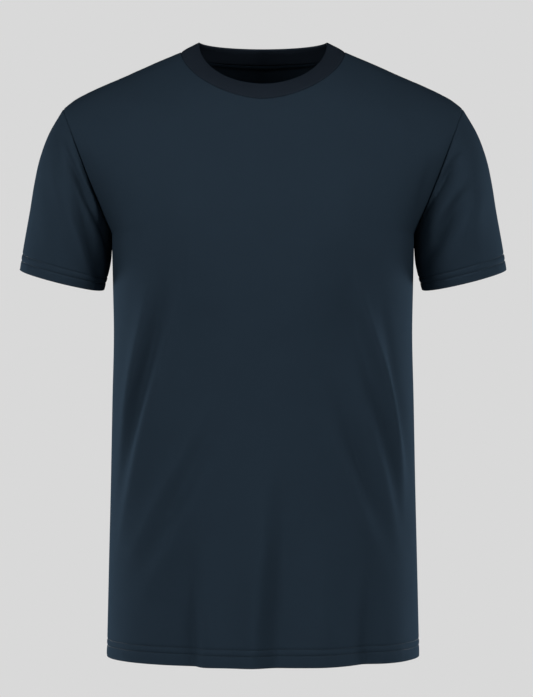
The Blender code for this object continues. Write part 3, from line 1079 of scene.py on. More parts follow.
@dataclass(frozen=True)
class Thread:
    """Twisted sewing thread, on stitches whose UV map runs from end to end."""

    name: str
    colour: Colour
    turns: float = 6.0  # of the plies, along one stitch
    relief: float = 0.04 * MM
    roughness: float = 0.62
    gloss: float = 0.20
    fibre_scale: float = 900.0

    def build(self) -> bpy.types.Material:
        """Makes the thread's material.

        Returns:
            The material.
        """
        material = bpy.data.materials.new(self.name)
        graph = Graph(material)
        around, along = graph.cloth_place()
        plies = graph.sin((along * self.turns + around) * (2 * math.pi)) * 0.5 + 0.5
        # Colour follows the plies' relief as well as the fibres: painted shade between the plies.
        tone_and_groove_shade = plies * 0.6 + graph.noise(self.fibre_scale) * 0.4
        graph.surface(
            {
                "Base Color": graph.tint(tone_and_groove_shade, self.colour, 0.75, 1.25),
                "Roughness": self.roughness,
                "Specular IOR Level": self.gloss,
            },
            plies,
            self.relief,
        )
        return material


@dataclass(frozen=True)
class Overlock:
    """Thread looped over the cut edges of a seam, or across the back of a twin-needle hem."""

    name: str
    colour: Colour
    pitch: float = 2.1 * MM
    strand: float = 1.4 * MM
    slant: float = 0.4  # how far a loop leans for each metre across
    relief: float = 0.25 * MM
    roughness: float = 0.75
    fibre_scale: float = 900.0

    def build(self) -> bpy.types.Material:
        """Makes the loops' material.

        Returns:
            The material.
        """
        material = bpy.data.materials.new(self.name)
        graph = Graph(material)
        across, along = graph.cloth_place()
        slanting = along + across * self.slant
        rungs = graph.sin(slanting * (2 * math.pi / self.pitch)) * 0.5 + 0.5
        strands = graph.sin(across * (2 * math.pi / self.strand)) * 0.5 + 0.5
        loops = graph.math("MAXIMUM", rungs, strands)
        # Colour follows the loops' relief as well as the fibres: painted shade between the loops.
        tone_and_groove_shade = loops * 0.8 + graph.noise(self.fibre_scale) * 0.2
        graph.surface(
            {
                "Base Color": graph.tint(tone_and_groove_shade, self.colour, 0.60, 1.15),
                "Roughness": self.roughness,
                "Specular IOR Level": 0.0,
            },
            loops,
            self.relief,
        )
        return material


@dataclass
class Finishes:
    """The shirt's materials."""

    jersey: bpy.types.Material
    # inner face of the jersey: the cloth's colour darkened with painted shade
    reverse: bpy.types.Material
    rib: bpy.types.Material
    # inner side of the neckband: the rib darkened with painted shade
    rib_inside: bpy.types.Material
    thread: bpy.types.Material
    overlock: bpy.types.Material

    @classmethod
    def build(cls) -> Finishes:
        """Makes every material.

        Returns:
            The materials.
        """
        cloth, yarn = (0.0160, 0.0265, 0.0390), (0.0085, 0.0145, 0.0215)
        jersey = Knit("jersey", KnitFace.FACE, cloth)
        # The inner face is the cloth at 0.65 of its brightness: painted shade for the dark inside of
        # the shirt.
        reverse = Knit("jersey_reverse_painted_shade", KnitFace.REVERSE, shaded(cloth, 0.65))
        rib = Knit(
            "rib", KnitFace.RIB, (0.0130, 0.0182, 0.0261), wale=0.80 * MM, relief=0.22 * MM
        )
        # The band's inner side is the rib at 0.75 of its brightness: painted shade inside the neck
        # opening.
        rib_inside = replace(rib, name="rib_inside", colour=shaded(rib.colour, 0.75))
        return cls(
            jersey=jersey.build(),
            reverse=reverse.build(),
            rib=rib.build(),
            rib_inside=rib_inside.build(),
            thread=Thread("thread", yarn).build(),
            overlock=Overlock("overlock", yarn).build(),
        )


# --------------------------------------------------------------------------------------------
# Sub-assemblies
# --------------------------------------------------------------------------------------------


@dataclass
class SewnStrip:
    """A strip of looped thread over cut edges, on the inside of a piece of cloth."""

    name: str
    shell: Shell
    border: Border
    span: slice  # of the places along that border
    width: float = 6 * MM
    from_edge: float = 0.3 * MM
    gap: float = 1.15 * MM  # from the outer face to the strip
    thickness: float = 1.1 * MM
    ripple: float = 0.25 * MM
    ripple_pitch: float = 7 * MM
    corners: int = 12

    def build(self, finishes: Finishes) -> bpy.types.Object:
        """Makes the strip.

        Args:
            finishes: The shirt's materials.

        Returns:
            The strip.
        """
        turn = np.linspace(0.0, 2 * math.pi, self.corners + 1)
        squarish = np.copysign(np.sqrt(np.abs(np.cos(turn))), np.cos(turn))
        distances = self.from_edge + self.width / 2 * (1 + squarish)
        depths = self.gap + self.thickness / 2 * (1 - np.sin(turn))
        points, outwards = self.shell.border(self.border, distances)
        points, outwards = points[self.span], outwards[self.span]
        along = run_along(points[:, :1], 0)
        ripple = self.ripple * np.sin(along * 2 * math.pi / self.ripple_pitch)
        strip = points - outwards * (depths + ripple)[..., None]
        around = np.linspace(0.0, 2 * self.width, len(turn))
        flat = np.stack(np.broadcast_arrays(around[None, :], along), axis=-1)
        shape = lay(strip, flat, closed=True)
        ends = [edge for edge in shape.edges if edge.is_boundary]
        bmesh.ops.holes_fill(shape, edges=ends, sides=0)
        bmesh.ops.recalc_face_normals(shape, faces=shape.faces)
        return add_piece(self.name, shape, (finishes.overlock,))


def hem_loops(name: str, shell: Shell, border: Border) -> SewnStrip:
    """The looped thread behind a twin-needle hem."""
    sizes = {"width": 9 * MM, "gap": 0.05 * MM, "thickness": 0.5 * MM, "ripple": 0.0}
    return SewnStrip(name, shell, border, slice(None), **sizes)


@dataclass
class HemStitches:
    """The twin-needle rows along a hem, on the outer face of one piece of cloth."""

    name: str
    shell: Shell
    pitch: float = 3.2 * MM
    gap: float = 0.35 * MM
    thickness: float = 0.42 * MM
    proud: float = 0.10 * MM
    batch: int = 24  # stitches that are made together

    def build(self, finishes: Finishes) -> bpy.types.Object:
        """Makes both rows as one piece.

        Args:
            finishes: The shirt's materials.

        Returns:
            The stitches.
        """
        shape = bmesh.new()
        shape.loops.layers.uv.new(UV_NAME)
        for row in self.shell.sewn_rows:
            self.sew(shape, self.shell.points[:, row], self.shell.outwards[:, row])
        return add_piece(self.name, shape, (finishes.thread,))

    def sew(self, shape: bmesh.types.BMesh, line: Array, outwards: Array) -> None:
        """Adds one row of stitches.

        Args:
            shape: The shape that holds the rows.
            line: The points that the row follows.
            outwards: The cloth's outward directions there.
        """
        line = line + outwards * self.proud
        travelled = run_along(line[:, None], 0)[:, 0]
        ends = np.linspace(0.0, travelled[-1], round(travelled[-1] / self.pitch) + 1)
        heads = read_along(ends[:-1] + self.gap / 2, travelled, line)
        tails = read_along(ends[1:] - self.gap / 2, travelled, line)
        up = read_along((ends[:-1] + ends[1:]) / 2, travelled, outwards)
        for first in range(0, len(heads), self.batch):
            few = slice(first, first + self.batch)
            stitches = bmesh.new()
            stitches.loops.layers.uv.new(UV_NAME)
            for head, tail, out in zip(heads[few], tails[few], up[few]):
                bmesh.ops.create_uvsphere(
                    stitches,
                    u_segments=6,
                    v_segments=4,
                    radius=1.0,
                    matrix=self.stance(Vector(head), Vector(tail), Vector(out)),
                    calc_uvs=True,
                )
            mesh = bpy.data.meshes.new("stitches")
            stitches.to_mesh(mesh)
            stitches.free()
            shape.from_mesh(mesh)
            bpy.data.meshes.remove(mesh)

    def stance(self, head: Vector, tail: Vector, out: Vector) -> Matrix:
        """Where one stitch lies, from head to tail, as the transform of a unit ball.

        Args:
            head: Where the stitch comes up.
            tail: Where it goes down.
            out: The cloth's outward direction between them.

        Returns:
            The transform.
        """
        run = tail - head
        forward = run.normalized()
        sideways = out.cross(forward).normalized()
        turn = Matrix((sideways, forward.cross(sideways), forward)).transposed().to_4x4()
        size = Matrix.Diagonal((self.thickness / 2, self.thickness / 2, run.length / 2, 1.0))
        return Matrix.Translation((head + tail) / 2) @ turn @ size


@dataclass
class Laid:
    """A grid of cloth in its folds, before the sewing shapes it."""

    points: Array
    outwards: Array  # of the plain form
    ripples: Array  # how far faint ripples raise it
    height: Array  # over the hem's edge
    inset: Array  # of each row, inside the outer face


@dataclass(kw_only=True)
class JerseyPiece(ABC):
    """A piece of jersey with a turned-up hem, in the form that it has when it is worn."""

    form: WornForm
    flat: tuple[float, float]
    flat_area: float
    seed: int
    hem: Hem
    pucker: Pucker
    ripples: Ripples
    hem_border: Border
    seam: Rolled = Rolled()
    thickness: float = 0.9 * MM
    lap: float = 0.0  # how far the first row's cut edge lies under the next piece

    @property
    @abstractmethod
    def name(self) -> str:
        """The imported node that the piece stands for."""

    @property
    @abstractmethod
    def runs_backwards(self) -> bool:
        """Whether the grid's columns run so that it faces inwards."""

    @abstractmethod
    def laid(self) -> Laid:
        """The cloth in its folds, before the sewing shapes it."""

    @abstractmethod
    def from_joint(self, across: Array, along: Array) -> tuple[Array, Array]:
        """Distances from the seam at the end away from the hem, and distances along it."""

    @abstractmethod
    def seams(self, shell: Shell) -> list[SewnStrip]:
        """The looped thread over the cut edges that lie on this piece."""

    def shell(self) -> Shell:
        """The outer face with its folds, its sewing and its rolled edges.

        Returns:
            The face.
        """
        laid = self.laid()
        across, along = run_along(laid.points, 0), run_along(laid.points, 1)
        across -= across[len(across) // 2]
        from_side = np.minimum(across - across[:1], across[-1:] - across)
        from_joint, joint_run = self.from_joint(across, along)
        relief = laid.ripples - self.seam.sink(from_joint) - self.seam.sink(from_side)
        relief += self.pucker.lift(joint_run, from_joint, self.seed)
        relief += self.hem.relief(laid.height, across, self.seed + 1) * (laid.inset == 0)
        points = laid.points + laid.outwards * (relief - laid.inset)[..., None]
        # The cut edge goes under by the lap, and sinks by half of that
        under = unit(points[:, 0] - points[:, 1]) - laid.outwards[:, 0] / 2
        points[:, 0] += under * self.lap
        flat = np.stack((across, run_along(points, 1)), axis=-1)
        rows = self.hem.sewn_rows()
        if self.hem_border == Border.LAST_ROW:
            rows = tuple(-1 - row for row in rows)
        return Shell(points, grid_outwards(points, laid.outwards), flat, rows)

    def build(self, finishes: Finishes) -> bpy.types.Object:
        """Makes the piece and its sewing.

        Args:
            finishes: The shirt's materials.

        Returns:
            The piece's shell.
        """
        shell = self.shell()
        points, flat = shell.points, shell.flat
        if self.runs_backwards:
            points, flat = points[::-1], flat[::-1]
        # The inner side takes the reverse material, darkened with painted shade for the inside of the
        # shirt.
        cloth = (finishes.jersey, finishes.reverse)
        piece = add_piece(f"{self.name}_cloth", lay(points, flat), cloth, self.name)
        thicken(piece, self.thickness)
        loops = hem_loops(f"{self.name}_hem_loops", shell, self.hem_border)
        sewing = (HemStitches(f"{self.name}_hem_stitches", shell), loops, *self.seams(shell))
        sewn = [part.build(finishes) for part in sewing]
        return piece


@dataclass(kw_only=True)
class BodyPanel(JerseyPiece):
    """The front or the back, from its turned-up hem to the neckline and the shoulders."""

    side: Side
    folds: tuple[Fold, ...]
    hem: Hem = Hem((13.4 * MM, 20.5 * MM), 22 * MM)
    pucker: Pucker = Pucker(0.35 * MM, 9 * MM, 8.5 * MM)
    ripples: Ripples = Ripples(0.45 * MM)
    hem_border: Border = Border.FIRST_ROW
    neck_edge_gap: float = 2.3 * MM  # from the outer face to the thread behind the neckband
    seam_hold: int = 14  # how closely to a side seam or an armhole a fold still runs
    ridge_gather: float = 0.40
    armhole_gather: float = 0.55
    column_gather: float = 1.5
    row_gather: float = 1.25
    neck_fan: float = 1.4
    neck_columns: int = 52  # from the centre line to the neck point
    shoulder_columns: int = 34  # from the neck point to the side seam
    lower_rows: int = 150  # from the hem's sewing to the underarm
    yoke_rows: int = 88  # from the underarm to the top edge

    @property
    def name(self) -> str:
        """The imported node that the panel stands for."""
        return self.side.name.lower()

    @property
    def runs_backwards(self) -> bool:
        """Whether the grid's columns run so that it faces inwards."""
        return self.side == Side.BACK

    def stations(self) -> Array:
        """Places across, from -1 at one side seam to 1 at the other.

        Returns:
            One for each column.
        """
        neck = self.form.cut.neck_share
        inner = np.linspace(0.0, neck, self.neck_columns)
        outer = neck + (1 - neck) * gathered(self.shoulder_columns, self.column_gather)[1:]
        half = np.concatenate((inner, outer))
        return np.concatenate((-half[:0:-1], half))

    def across_section(self, across: Array, power: Array) -> Array:
        """How far across a section the stations lie, spaced evenly round its curve.

        Args:
            across: Stations, from 0 in the middle to 1 at the side.
            power: The section's squareness.

        Returns:
            Their places, as shares of the half-width.
        """
        turn = math.pi / 2 * across
        sine, cosine = np.abs(np.sin(turn)), np.abs(np.cos(turn))
        return sine / (sine**power + cosine**power) ** (1 / power)

    def lower(self, across: Array, z: Array) -> tuple[Array, Array]:
        """Places from the hem to the underarm, as x and z seen from the front."""
        share = self.across_section(across, self.form.squareness.at(z))
        return self.form.edge(z) * share, z

    def top(self, across: Array) -> tuple[Array, Array]:
        """Where the panel ends: on the neckline, then along the shoulder seam.

        Args:
            across: Stations, from 0 in the middle to 1 at the side.

        Returns:
            The places' x and z.
        """
        cut = self.form.cut
        neck = self.form.neckline(self.side, math.pi / 2 * np.clip(across / cut.neck_share, 0, 1))
        outside = np.clip((across - cut.neck_share) / (1 - cut.neck_share), 0.0, 1.0)
        x = cut.neck_half_width + (cut.shoulder_tip[0] - cut.neck_half_width) * outside
        z = self.form.ridge.at(x)
        on_neck = across <= cut.neck_share
        return np.where(on_neck, neck[..., 0], x), np.where(on_neck, neck[..., 2], z)

    def yoke(self, across: Array, even: Array) -> tuple[Array, Array]:
        """Places from the underarm (even 0) to the top edge (even 1), seen from the front.

        Args:
            across: Stations, from 0 in the middle to 1 at the side.
            even: Shares of the way up.

        Returns:
            The places' x and z.
        """
        cut = self.form.cut
        top_x, top_z = self.top(across)
        near_ridge = ease((across / cut.neck_share - self.ridge_gather) / (1 - self.ridge_gather))
        near_armhole = ease((across - self.armhole_gather) / (1 - self.armhole_gather))
        share = even + (np.sin(math.pi / 2 * even) - even) * near_ridge
        share += ((1 - np.cos(math.pi * even)) / 2 - share) * near_armhole
        edge = cut.underarm[0] + (cut.shoulder_tip[0] - cut.underarm[0]) * share
        low = self.across_section(across, self.form.squareness.at(np.array(cut.underarm[1])))
        x = edge * (low + (top_x / cut.shoulder_tip[0] - low) * share**self.neck_fan)
        z = cut.underarm[1] + (top_z - cut.underarm[1]) * share
        ends = even >= 1
        return np.where(ends, top_x, x), np.where(ends, top_z, z)

    def laid(self) -> Laid:
        """Lays the cloth on the form, in its folds.

        Returns:
            The grid.
        """
        cut, stations = self.form.cut, self.stations()
        out = np.abs(stations)[:, None]
        heights, insets = self.hem.profile()
        low_z = cut.underarm[1]
        above = np.linspace(self.hem.calm - cut.body_length, low_z, self.lower_rows)[1:]
        lower_z = np.concatenate((heights - cut.body_length, above))
        even = gathered(self.yoke_rows, self.row_gather)[1:]
        lower_x, lower_z = self.lower(out, np.broadcast_to(lower_z, (len(out), len(lower_z))))
        yoke_x, yoke_z = self.yoke(out, even[None, :])
        x = np.concatenate((lower_x, yoke_x), axis=1)
        z = np.concatenate((lower_z, yoke_z), axis=1)
        free = 1 - np.clip(x / self.form.edge(z), 0.0, 1.0) ** self.seam_hold
        depth = self.form.depth(x, z, self.side)
        depth[:, -1][out[:, 0] >= cut.neck_share] = 0.0
        side_seam = (out >= 1) & (z <= low_z)
        depth = np.where(side_seam, 0.0, depth)
        points = np.stack(
            (np.copysign(x, stations[:, None]), self.side.value * depth, z), axis=-1
        )
        outwards = self.form.outwards(points)
        points = points + outwards * (lift_of(self.folds, points[..., 0], z) * free)[..., None]
        ripples = self.ripples.lift(points[..., 0], points[..., 2], self.seed + 2) * free
        inset = np.concatenate((insets, np.zeros(len(above) + len(even))))
        return Laid(points, outwards, ripples, z + cut.body_length, inset)

    def from_joint(self, across: Array, along: Array) -> tuple[Array, Array]:
        """Distances from the seams at the neck and the shoulders, and across the panel."""
        return along[:, -1:] - along, across

    def seams(self, shell: Shell) -> list[SewnStrip]:
        """The looped thread over the cut edges that lie on this panel.

        Args:
            shell: The panel's outer face.

        Returns:
            The strips.
        """
        shoulder = self.shoulder_columns - 1
        neck, gap = slice(shoulder, -shoulder), self.neck_edge_gap
        strips = [SewnStrip(f"{self.name}_neck_edges", shell, Border.LAST_ROW, neck, gap=gap)]
        if self.side == Side.BACK:
            first = len(self.hem.profile()[0])
            up = slice(first, first + self.lower_rows - 1)
            for hand, border, tip in (
                (Hand.RIGHT, Border.FIRST_COLUMN, slice(0, shoulder)),
                (Hand.LEFT, Border.LAST_COLUMN, slice(-shoulder, None)),
            ):
                name = hand.name.lower()
                strips.append(SewnStrip(f"side_edges_{name}", shell, border, up))
                strips.append(SewnStrip(f"shoulder_edges_{name}", shell, Border.LAST_ROW, tip))
        return strips


@dataclass(kw_only=True)
class Sleeve(JerseyPiece):
    """A short set-in sleeve: one panel, closed by its seam under the arm."""

    hand: Hand
    front_folds: tuple[Fold, ...]
    back_folds: tuple[Fold, ...]
    flat: tuple[float, float] = (0.420, 0.235)
    flat_area: float = 0.070
    hem: Hem = Hem(
        (10.0 * MM, 16.8 * MM), 20 * MM, calm=24 * MM, sewn_height=36 * MM, sewn_fade=10 * MM
    )
    pucker: Pucker = Pucker(0.55 * MM, 13 * MM, 9.5 * MM)
    ripples: Ripples = Ripples(0.40 * MM)
    hem_border: Border = Border.LAST_ROW
    lap: float = 2.5 * MM
    cuff_squareness: float = 2.15
    cuff_dip: float = 0.085  # how much lower the cuff lies for each metre further to the front
    fold_start: float = 0.080  # share of the sleeve over which its folds grow from the armhole
    column_gather: float = 1.2
    row_gather: float = 1.25
    columns: int = 100  # from the outer edge to the seam under the arm
    rows: int = 64  # from the armhole to the hem's sewing
    first_sewn: int = 8  # of those, where the thread over the underarm seam starts
    measured: int = 41  # places along the sleeve at which its length is taken

    def __post_init__(self) -> None:
        """Reads the table as curves."""
        self.edges = [Curve(SLEEVE_RINGS, "share", column) for column in RingRow._fields[1:]]

    @property
    def name(self) -> str:
        """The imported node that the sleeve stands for."""
        return f"sleeve_{self.hand.name.lower()}"

    @property
    def runs_backwards(self) -> bool:
        """Whether the grid's columns run so that it faces inwards."""
        return self.hand == Hand.RIGHT

    def on_form(self, turn: Array, share: Array) -> Array:
        """Points of the plain sleeve.

        Args:
            turn: The way round, from 0 on the outer edge to pi under the arm, by the front.
            share: The way down, from 0 at the armhole to 1 at the cuff.

        Returns:
            The points, as x, y, z.
        """
        start = SLEEVE_RINGS[0]
        outer_x, outer_z, inner_x, inner_z, front, back = (edge.at(share) for edge in self.edges)
        up = (1 + np.cos(turn)) / 2
        in_front = np.sin(turn) >= 0
        armhole_x = start.inner_x + (start.outer_x - start.inner_x) * up
        armhole_z = start.inner_z + (start.outer_z - start.inner_z) * up
        at_armhole = np.where(
            in_front,
            self.form.depth(armhole_x, armhole_z, Side.FRONT) / start.front,
            self.form.depth(armhole_x, armhole_z, Side.BACK) / start.back,
        )
        power = self.cuff_squareness
        at_cuff = np.clip(1 - np.abs(2 * up - 1) ** power, 0.0, None) ** (1 / power)
        bulge = np.where(in_front, -front, back)
        y = bulge * (at_armhole + (at_cuff - at_armhole) * ease(share))
        x = inner_x + (outer_x - inner_x) * up
        z = inner_z + (outer_z - inner_z) * up + self.cuff_dip * y * share
        return np.stack((x * self.hand.value, y, z), axis=-1)

    def outwards(self, turn: Array, share: Array) -> Array:
        """The plain sleeve's outward directions.

        Args:
            turn: The way round, as above.
            share: The way down, as above.

        Returns:
            A unit direction for each place.
        """
        step = 0.002
        around = self.on_form(turn + step, share) - self.on_form(turn - step, share)
        before, after = np.clip(share - step, 0, 1), np.clip(share + step, 0, 1)
        down = self.on_form(turn, after) - self.on_form(turn, before)
        return unit(np.cross(around, down)) * self.hand.value

    def laid(self) -> Laid:
        """Lays the cloth on the plain sleeve, in its folds.

        Returns:
            The grid.
        """
        half = math.pi * gathered(self.columns, self.column_gather)
        turn = np.concatenate((-half[:0:-1], half))[:, None]
        measure = self.on_form(turn, np.linspace(0.0, 1.0, self.measured)[None, :])
        length = run_along(measure, 1)[:, -1:]
        heights, insets = self.hem.profile()
        upper = (1 - gathered(self.rows, self.row_gather)[::-1])[None, :-1]
        upper = upper * (1 - self.hem.calm / length)
        share = np.concatenate((upper, 1 - heights[None, ::-1] / length), axis=1)
        inset = np.concatenate((np.zeros(upper.shape[1]), insets[::-1]))
        turn = np.broadcast_to(turn, share.shape)
        points, outwards = self.on_form(turn, share), self.outwards(turn, share)
        x, z = np.abs(points[..., 0]), points[..., 2]
        free = np.abs(np.sin(turn))
        lift = np.where(
            turn >= 0, lift_of(self.front_folds, x, z), lift_of(self.back_folds, x, z)
        )
        lift *= free * ease(share / self.fold_start)
        ripples = self.ripples.lift(x, z, self.seed + 2) * free
        points = points + outwards * lift[..., None]
        return Laid(points, outwards, ripples, (1 - share) * length, inset)

    def from_joint(self, across: Array, along: Array) -> tuple[Array, Array]:
        """Distances from the armhole's seam, and along it."""
        return along, np.broadcast_to(across[:, :1], across.shape)

    def seams(self, shell: Shell) -> list[SewnStrip]:
        """The looped thread over the cut edges at the armhole and under the arm.

        Args:
            shell: The sleeve's outer face.

        Returns:
            The strips.
        """
        down = slice(self.first_sewn, -len(self.hem.profile()[0]))
        armhole, underarm = f"{self.name}_armhole_edges", f"{self.name}_underarm_edges"
        return [
            SewnStrip(armhole, shell, Border.FIRST_ROW, slice(None)),
            SewnStrip(underarm, shell, Border.FIRST_COLUMN, down),
        ]


@dataclass
class Neckband:
    """The neckband: one ring of rib, folded double and sewn round the neck opening."""

    form: WornForm
    half_width: float = 0.0745
    top: float = 0.0134
    front_reach: float = 0.0755
    back_reach: float = 0.0650
    front_slope: float = 0.752
    back_slope: float = 0.020
    thickness: float = 2.6 * MM
    wall: float = 1.1 * MM  # of the rib, which lies double
    crown: float = 0.9 * MM
    seam: Rolled = Rolled(2.6 * MM, 1.1 * MM)
    flat: tuple[float, float] = (0.490, 0.060)
    places: int = 76  # round a quarter of the band
    corner_ease: int = 4  # places on either side over which its top edge bends at a neck point
    rows: int = 20  # up either side
    row_gather: float = 1.5
    fold_rows: int = 11
    upright: int = 4  # how soon above its foot the band stands up from the shoulders' slope

    def rings(self) -> tuple[Array, Array, Array]:
        """The band's two edges, all the way round.

        Returns:
            The points of its foot and of its top edge, and the inward directions at its foot.
        """
        quarter = math.pi / 2
        turn = np.linspace(-2 * quarter, 2 * quarter, 4 * self.places + 1)
        in_front = np.abs(turn) <= quarter
        from_centre = np.where(in_front, turn, np.copysign(2 * quarter, turn) - turn)
        foot = np.where(
            in_front[:, None],
            self.form.neckline(Side.FRONT, from_centre),
            self.form.neckline(Side.BACK, from_centre),
        )
        reach = np.where(in_front, self.front_reach, self.back_reach) * np.cos(from_centre)
        slope = np.where(in_front, self.front_slope, self.back_slope)
        top = np.stack(
            (
                self.half_width * np.sin(from_centre),
                np.where(in_front, -1.0, 1.0) * reach,
                eased_ring(self.top - slope * reach, self.corner_ease),
            ),
            axis=-1,
        )
        return foot, top, -self.form.outwards(foot)

    def outline(self) -> Array:
        """The band's surface, outside, over its top edge and down inside.

        Returns:
            The points, by place round the neck and round the band's own outline.
        """
        foot, top, inward = self.rings()
        rise = unit(top - foot)
        height = np.linalg.norm(top - foot, axis=-1)
        across = unit(inward - rise * np.sum(inward * rise, axis=-1, keepdims=True))
        radius = self.thickness / 2
        up = 1 - gathered(self.rows, self.row_gather)[::-1]
        fold = np.linspace(0.0, math.pi, self.fold_rows)[1:-1]
        shares = np.concatenate((up, np.ones(len(fold)), up[::-1]))
        tall = (height - radius)[:, None] * shares
        depth = np.concatenate(
            (np.zeros(len(up)), radius * (1 - np.cos(fold)), np.full(len(up), self.thickness))
        )
        bow = self.crown * 4 * shares * (1 - shares)
        depth = depth - bow + np.where(depth > radius, 0.0, self.seam.sink(tall))
        tall[:, len(up) : len(up) + len(fold)] += radius * np.sin(fold)
        lean = (1 - shares) ** self.upright
        sideways = across[:, None] * (1 - lean)[:, None] + inward[:, None] * lean[:, None]
        return foot[:, None] + rise[:, None] * tall[..., None] + sideways * depth[..., None]

    def build(self, finishes: Finishes) -> bpy.types.Object:
        """Makes the band.

        Args:
            finishes: The shirt's materials.

        Returns:
            The band.
        """
        points = self.outline()
        flat = np.stack((run_along(points, 0), run_along(points, 1)), axis=-1)
        shape = lay(points, flat, closed=True)
        uv_layer = shape.loops.layers.uv[UV_NAME]
        halfway = flat[..., 1].max() / 2
        for face in shape.faces:
            face.material_index = int(face.loops[0][uv_layer].uv.y > halfway)
        # The band's inner half and the inner side of its wall take the rib darkened with painted shade.
        inside = finishes.rib_inside
        materials = (finishes.rib, inside, inside)
        piece = add_piece("neckband_rib", shape, materials, "neckband")
        thicken(piece, self.wall)
        return piece


# --------------------------------------------------------------------------------------------
# Studio
# --------------------------------------------------------------------------------------------


@dataclass(frozen=True)
class Lamp:
    """A soft box."""

    name: str
    place: tuple[float, float, float]
    target: tuple[float, float, float]
    size: tuple[float, float]
    power: float

    def build(self) -> None:
        """Hangs the lamp."""
        data = bpy.data.lights.new(self.name, "AREA")
        data.shape = "RECTANGLE"
        data.size, data.size_y = self.size
        data.energy = self.power
        lamp = bpy.data.objects.new(self.name, data)
        lamp.location = self.place
        aim = Vector(self.target) - Vector(self.place)
        lamp.rotation_euler = aim.to_track_quat("-Z", "Y").to_euler()
        lamp.visible_camera = False
        bpy.context.scene.collection.objects.link(lamp)


def mirrored(
    name: str,
    place: tuple[float, float, float],
    target_height: float,
    size: tuple[float, float],
    powers: tuple[float, float],
) -> tuple[Lamp, Lamp]:
    """A lamp on the wearer's right and its mirror image on the left, each with its own power.

    Args:
        name: What both are called, before their side.
        place: Where the left one hangs.
        target_height: Height of the place on the shirt's middle line that both point at.
        size: Width and height of each.
        powers: Power of the right one and of the left one.

    Returns:
        Both lamps.
    """
    x, y, z = place
    target = (0.0, 0.0, target_height)
    return (
        Lamp(f"{name}_right", (-x, y, z), target, size, powers[0]),
        Lamp(f"{name}_left", (x, y, z), target, size, powers[1]),
    )


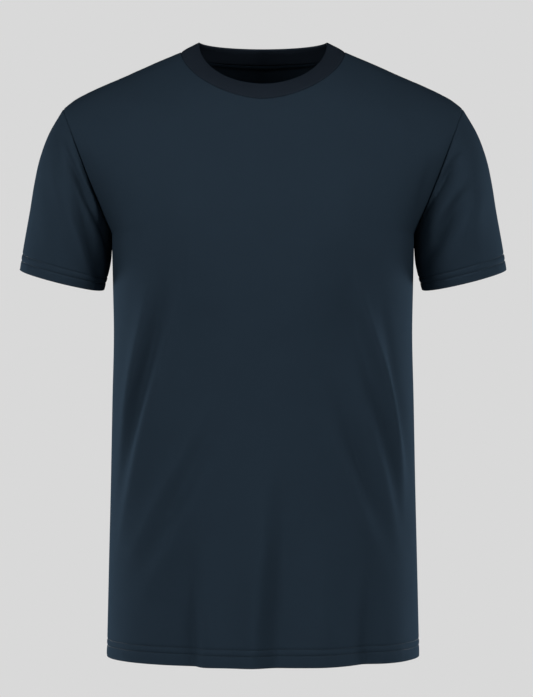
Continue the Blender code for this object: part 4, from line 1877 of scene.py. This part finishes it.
@dataclass(frozen=True)
class Studio:
    """A pale floor before a pale ground, soft boxes all round, and a camera in front."""

    lens: float = 132.0  # in millimetres, as is the sensor
    sensor: float = 36.0
    camera_place: tuple[float, float, float] = (0.004, -2.972, -0.344)
    backdrop: float = 0.694  # brightness of the pale ground
    ambient: float = 0.004  # brightness of the light that the ground itself gives
    floor_height: float = -1.0
    floor_radius: float = 14.0
    floor_sides: int = 64
    floor_shade: float = 0.55
    floor_roughness: float = 0.9
    shadow_reach: float = 1.3  # where the floor has given way to the ground
    bareness: float = 0.50  # how much of the ground shows through the floor under the shirt
    lamps: tuple[Lamp, ...] = (
        *mirrored("side", (1.4, -1.3, 0.25), -0.25, (0.8, 1.2), (23.0, 20.6)),
        *mirrored("flank", (1.5, 0.45, -0.75), -0.45, (0.5, 0.4), (11.0, 12.5)),
        *mirrored("rim", (1.3, 0.9, -0.70), -0.45, (0.5, 0.4), (23.0, 22.0)),
        *mirrored("rear", (0.9, 1.3, -0.40), -0.35, (0.5, 0.8), (12.0, 12.0)),
        Lamp("above", (0.0, -1.9, 2.3), (0.0, 0.0, -0.30), (2.6, 1.8), 17.0),
        Lamp("low", (0.0, -2.4, -0.72), (0.0, 0.0, -0.40), (2.2, 0.4), 12.5),
        Lamp("behind", (0.0, 1.9, 2.3), (0.0, 0.0, -0.30), (2.6, 1.8), 11.0),
    )

    def build_camera(self) -> None:
        """Sets the camera up level with the middle of the shirt, straight in front."""
        data = bpy.data.cameras.new("camera")
        data.lens = self.lens
        data.sensor_width = self.sensor
        camera = bpy.data.objects.new("camera", data)
        camera.location = self.camera_place
        camera.rotation_euler = (math.pi / 2, 0.0, 0.0)
        bpy.context.scene.collection.objects.link(camera)
        bpy.context.scene.camera = camera

    def build_world(self) -> None:
        """Shows a pale ground all round, which gives hardly any light itself."""
        world = bpy.data.worlds.new("studio")
        graph = Graph(world)
        seen = graph.node("ShaderNodeLightPath").outputs["Is Camera Ray"]
        ground = graph.node("ShaderNodeBackground", inputs={0: grey(self.backdrop)}).outputs[0]
        light = graph.node("ShaderNodeBackground", inputs={0: grey(self.ambient)}).outputs[0]
        mixed = graph.node("ShaderNodeMixShader", inputs={0: seen, 1: light, 2: ground})
        graph.node("ShaderNodeOutputWorld", inputs={0: mixed.outputs[0]})
        bpy.context.scene.world = world

    def build_floor(self) -> None:
        """Lays a pale floor that gives way to the ground's own brightness further out."""
        material = bpy.data.materials.new("floor")
        graph = Graph(material)
        place = graph.node("ShaderNodeTexCoord").outputs["Object"]
        far = graph.node("ShaderNodeVectorMath", {"operation": "LENGTH"}, {0: place}).outputs[1]
        out = graph.math("MINIMUM", Term(graph, far) / self.shadow_reach, 1.0)
        share = out * out * (3.0 - out * 2.0) * (1.0 - self.bareness) + self.bareness
        near = graph.node(
            "ShaderNodeBsdfPrincipled",
            inputs={"Base Color": grey(self.floor_shade), "Roughness": self.floor_roughness},
        )
        beyond = graph.node("ShaderNodeBsdfTransparent")
        mixed = graph.node(
            "ShaderNodeMixShader", inputs={0: share, 1: near.outputs[0], 2: beyond.outputs[0]}
        )
        graph.node("ShaderNodeOutputMaterial", inputs={"Surface": mixed.outputs[0]})
        shape = bmesh.new()
        sides, radius = self.floor_sides, self.floor_radius
        bmesh.ops.create_circle(shape, cap_ends=True, segments=sides, radius=radius)
        mesh = bpy.data.meshes.new("floor")
        shape.to_mesh(mesh)
        shape.free()
        mesh.materials.append(material)
        floor = bpy.data.objects.new("floor", mesh)
        floor.location.z = self.floor_height
        bpy.context.scene.collection.objects.link(floor)

    def build(self) -> None:
        """Sets up the floor, the light and the camera."""
        self.build_camera()
        self.build_world()
        self.build_floor()
        for lamp in self.lamps:
            lamp.build()
        bpy.context.scene.view_settings.view_transform = "Standard"


def main() -> None:
    """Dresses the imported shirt, piece by piece."""
    logging.basicConfig(level=logging.INFO, format="%(message)s", stream=sys.stdout)
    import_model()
    Studio().build()
    finishes = Finishes.build()
    form = WornForm()
    panels = (
        BodyPanel(
            form=form, side=Side.FRONT, folds=FRONT_FOLDS, flat=(0.515, 0.735), flat_area=0.345, seed=11
        ),
        BodyPanel(
            form=form, side=Side.BACK, folds=BACK_FOLDS, flat=(0.515, 0.740), flat_area=0.360, seed=23
        ),
    )
    across, near = ACROSS_ARM_FOLDS, NEAR_SEAM_FOLDS
    sleeves = (
        Sleeve(form=form, hand=Hand.LEFT, front_folds=across, back_folds=near, seed=37),
        Sleeve(form=form, hand=Hand.RIGHT, front_folds=near, back_folds=across, seed=41),
    )
    for part in (*panels, *sleeves, Neckband(form)):
        part.build(finishes)


if __name__ == "__main__":
    main()
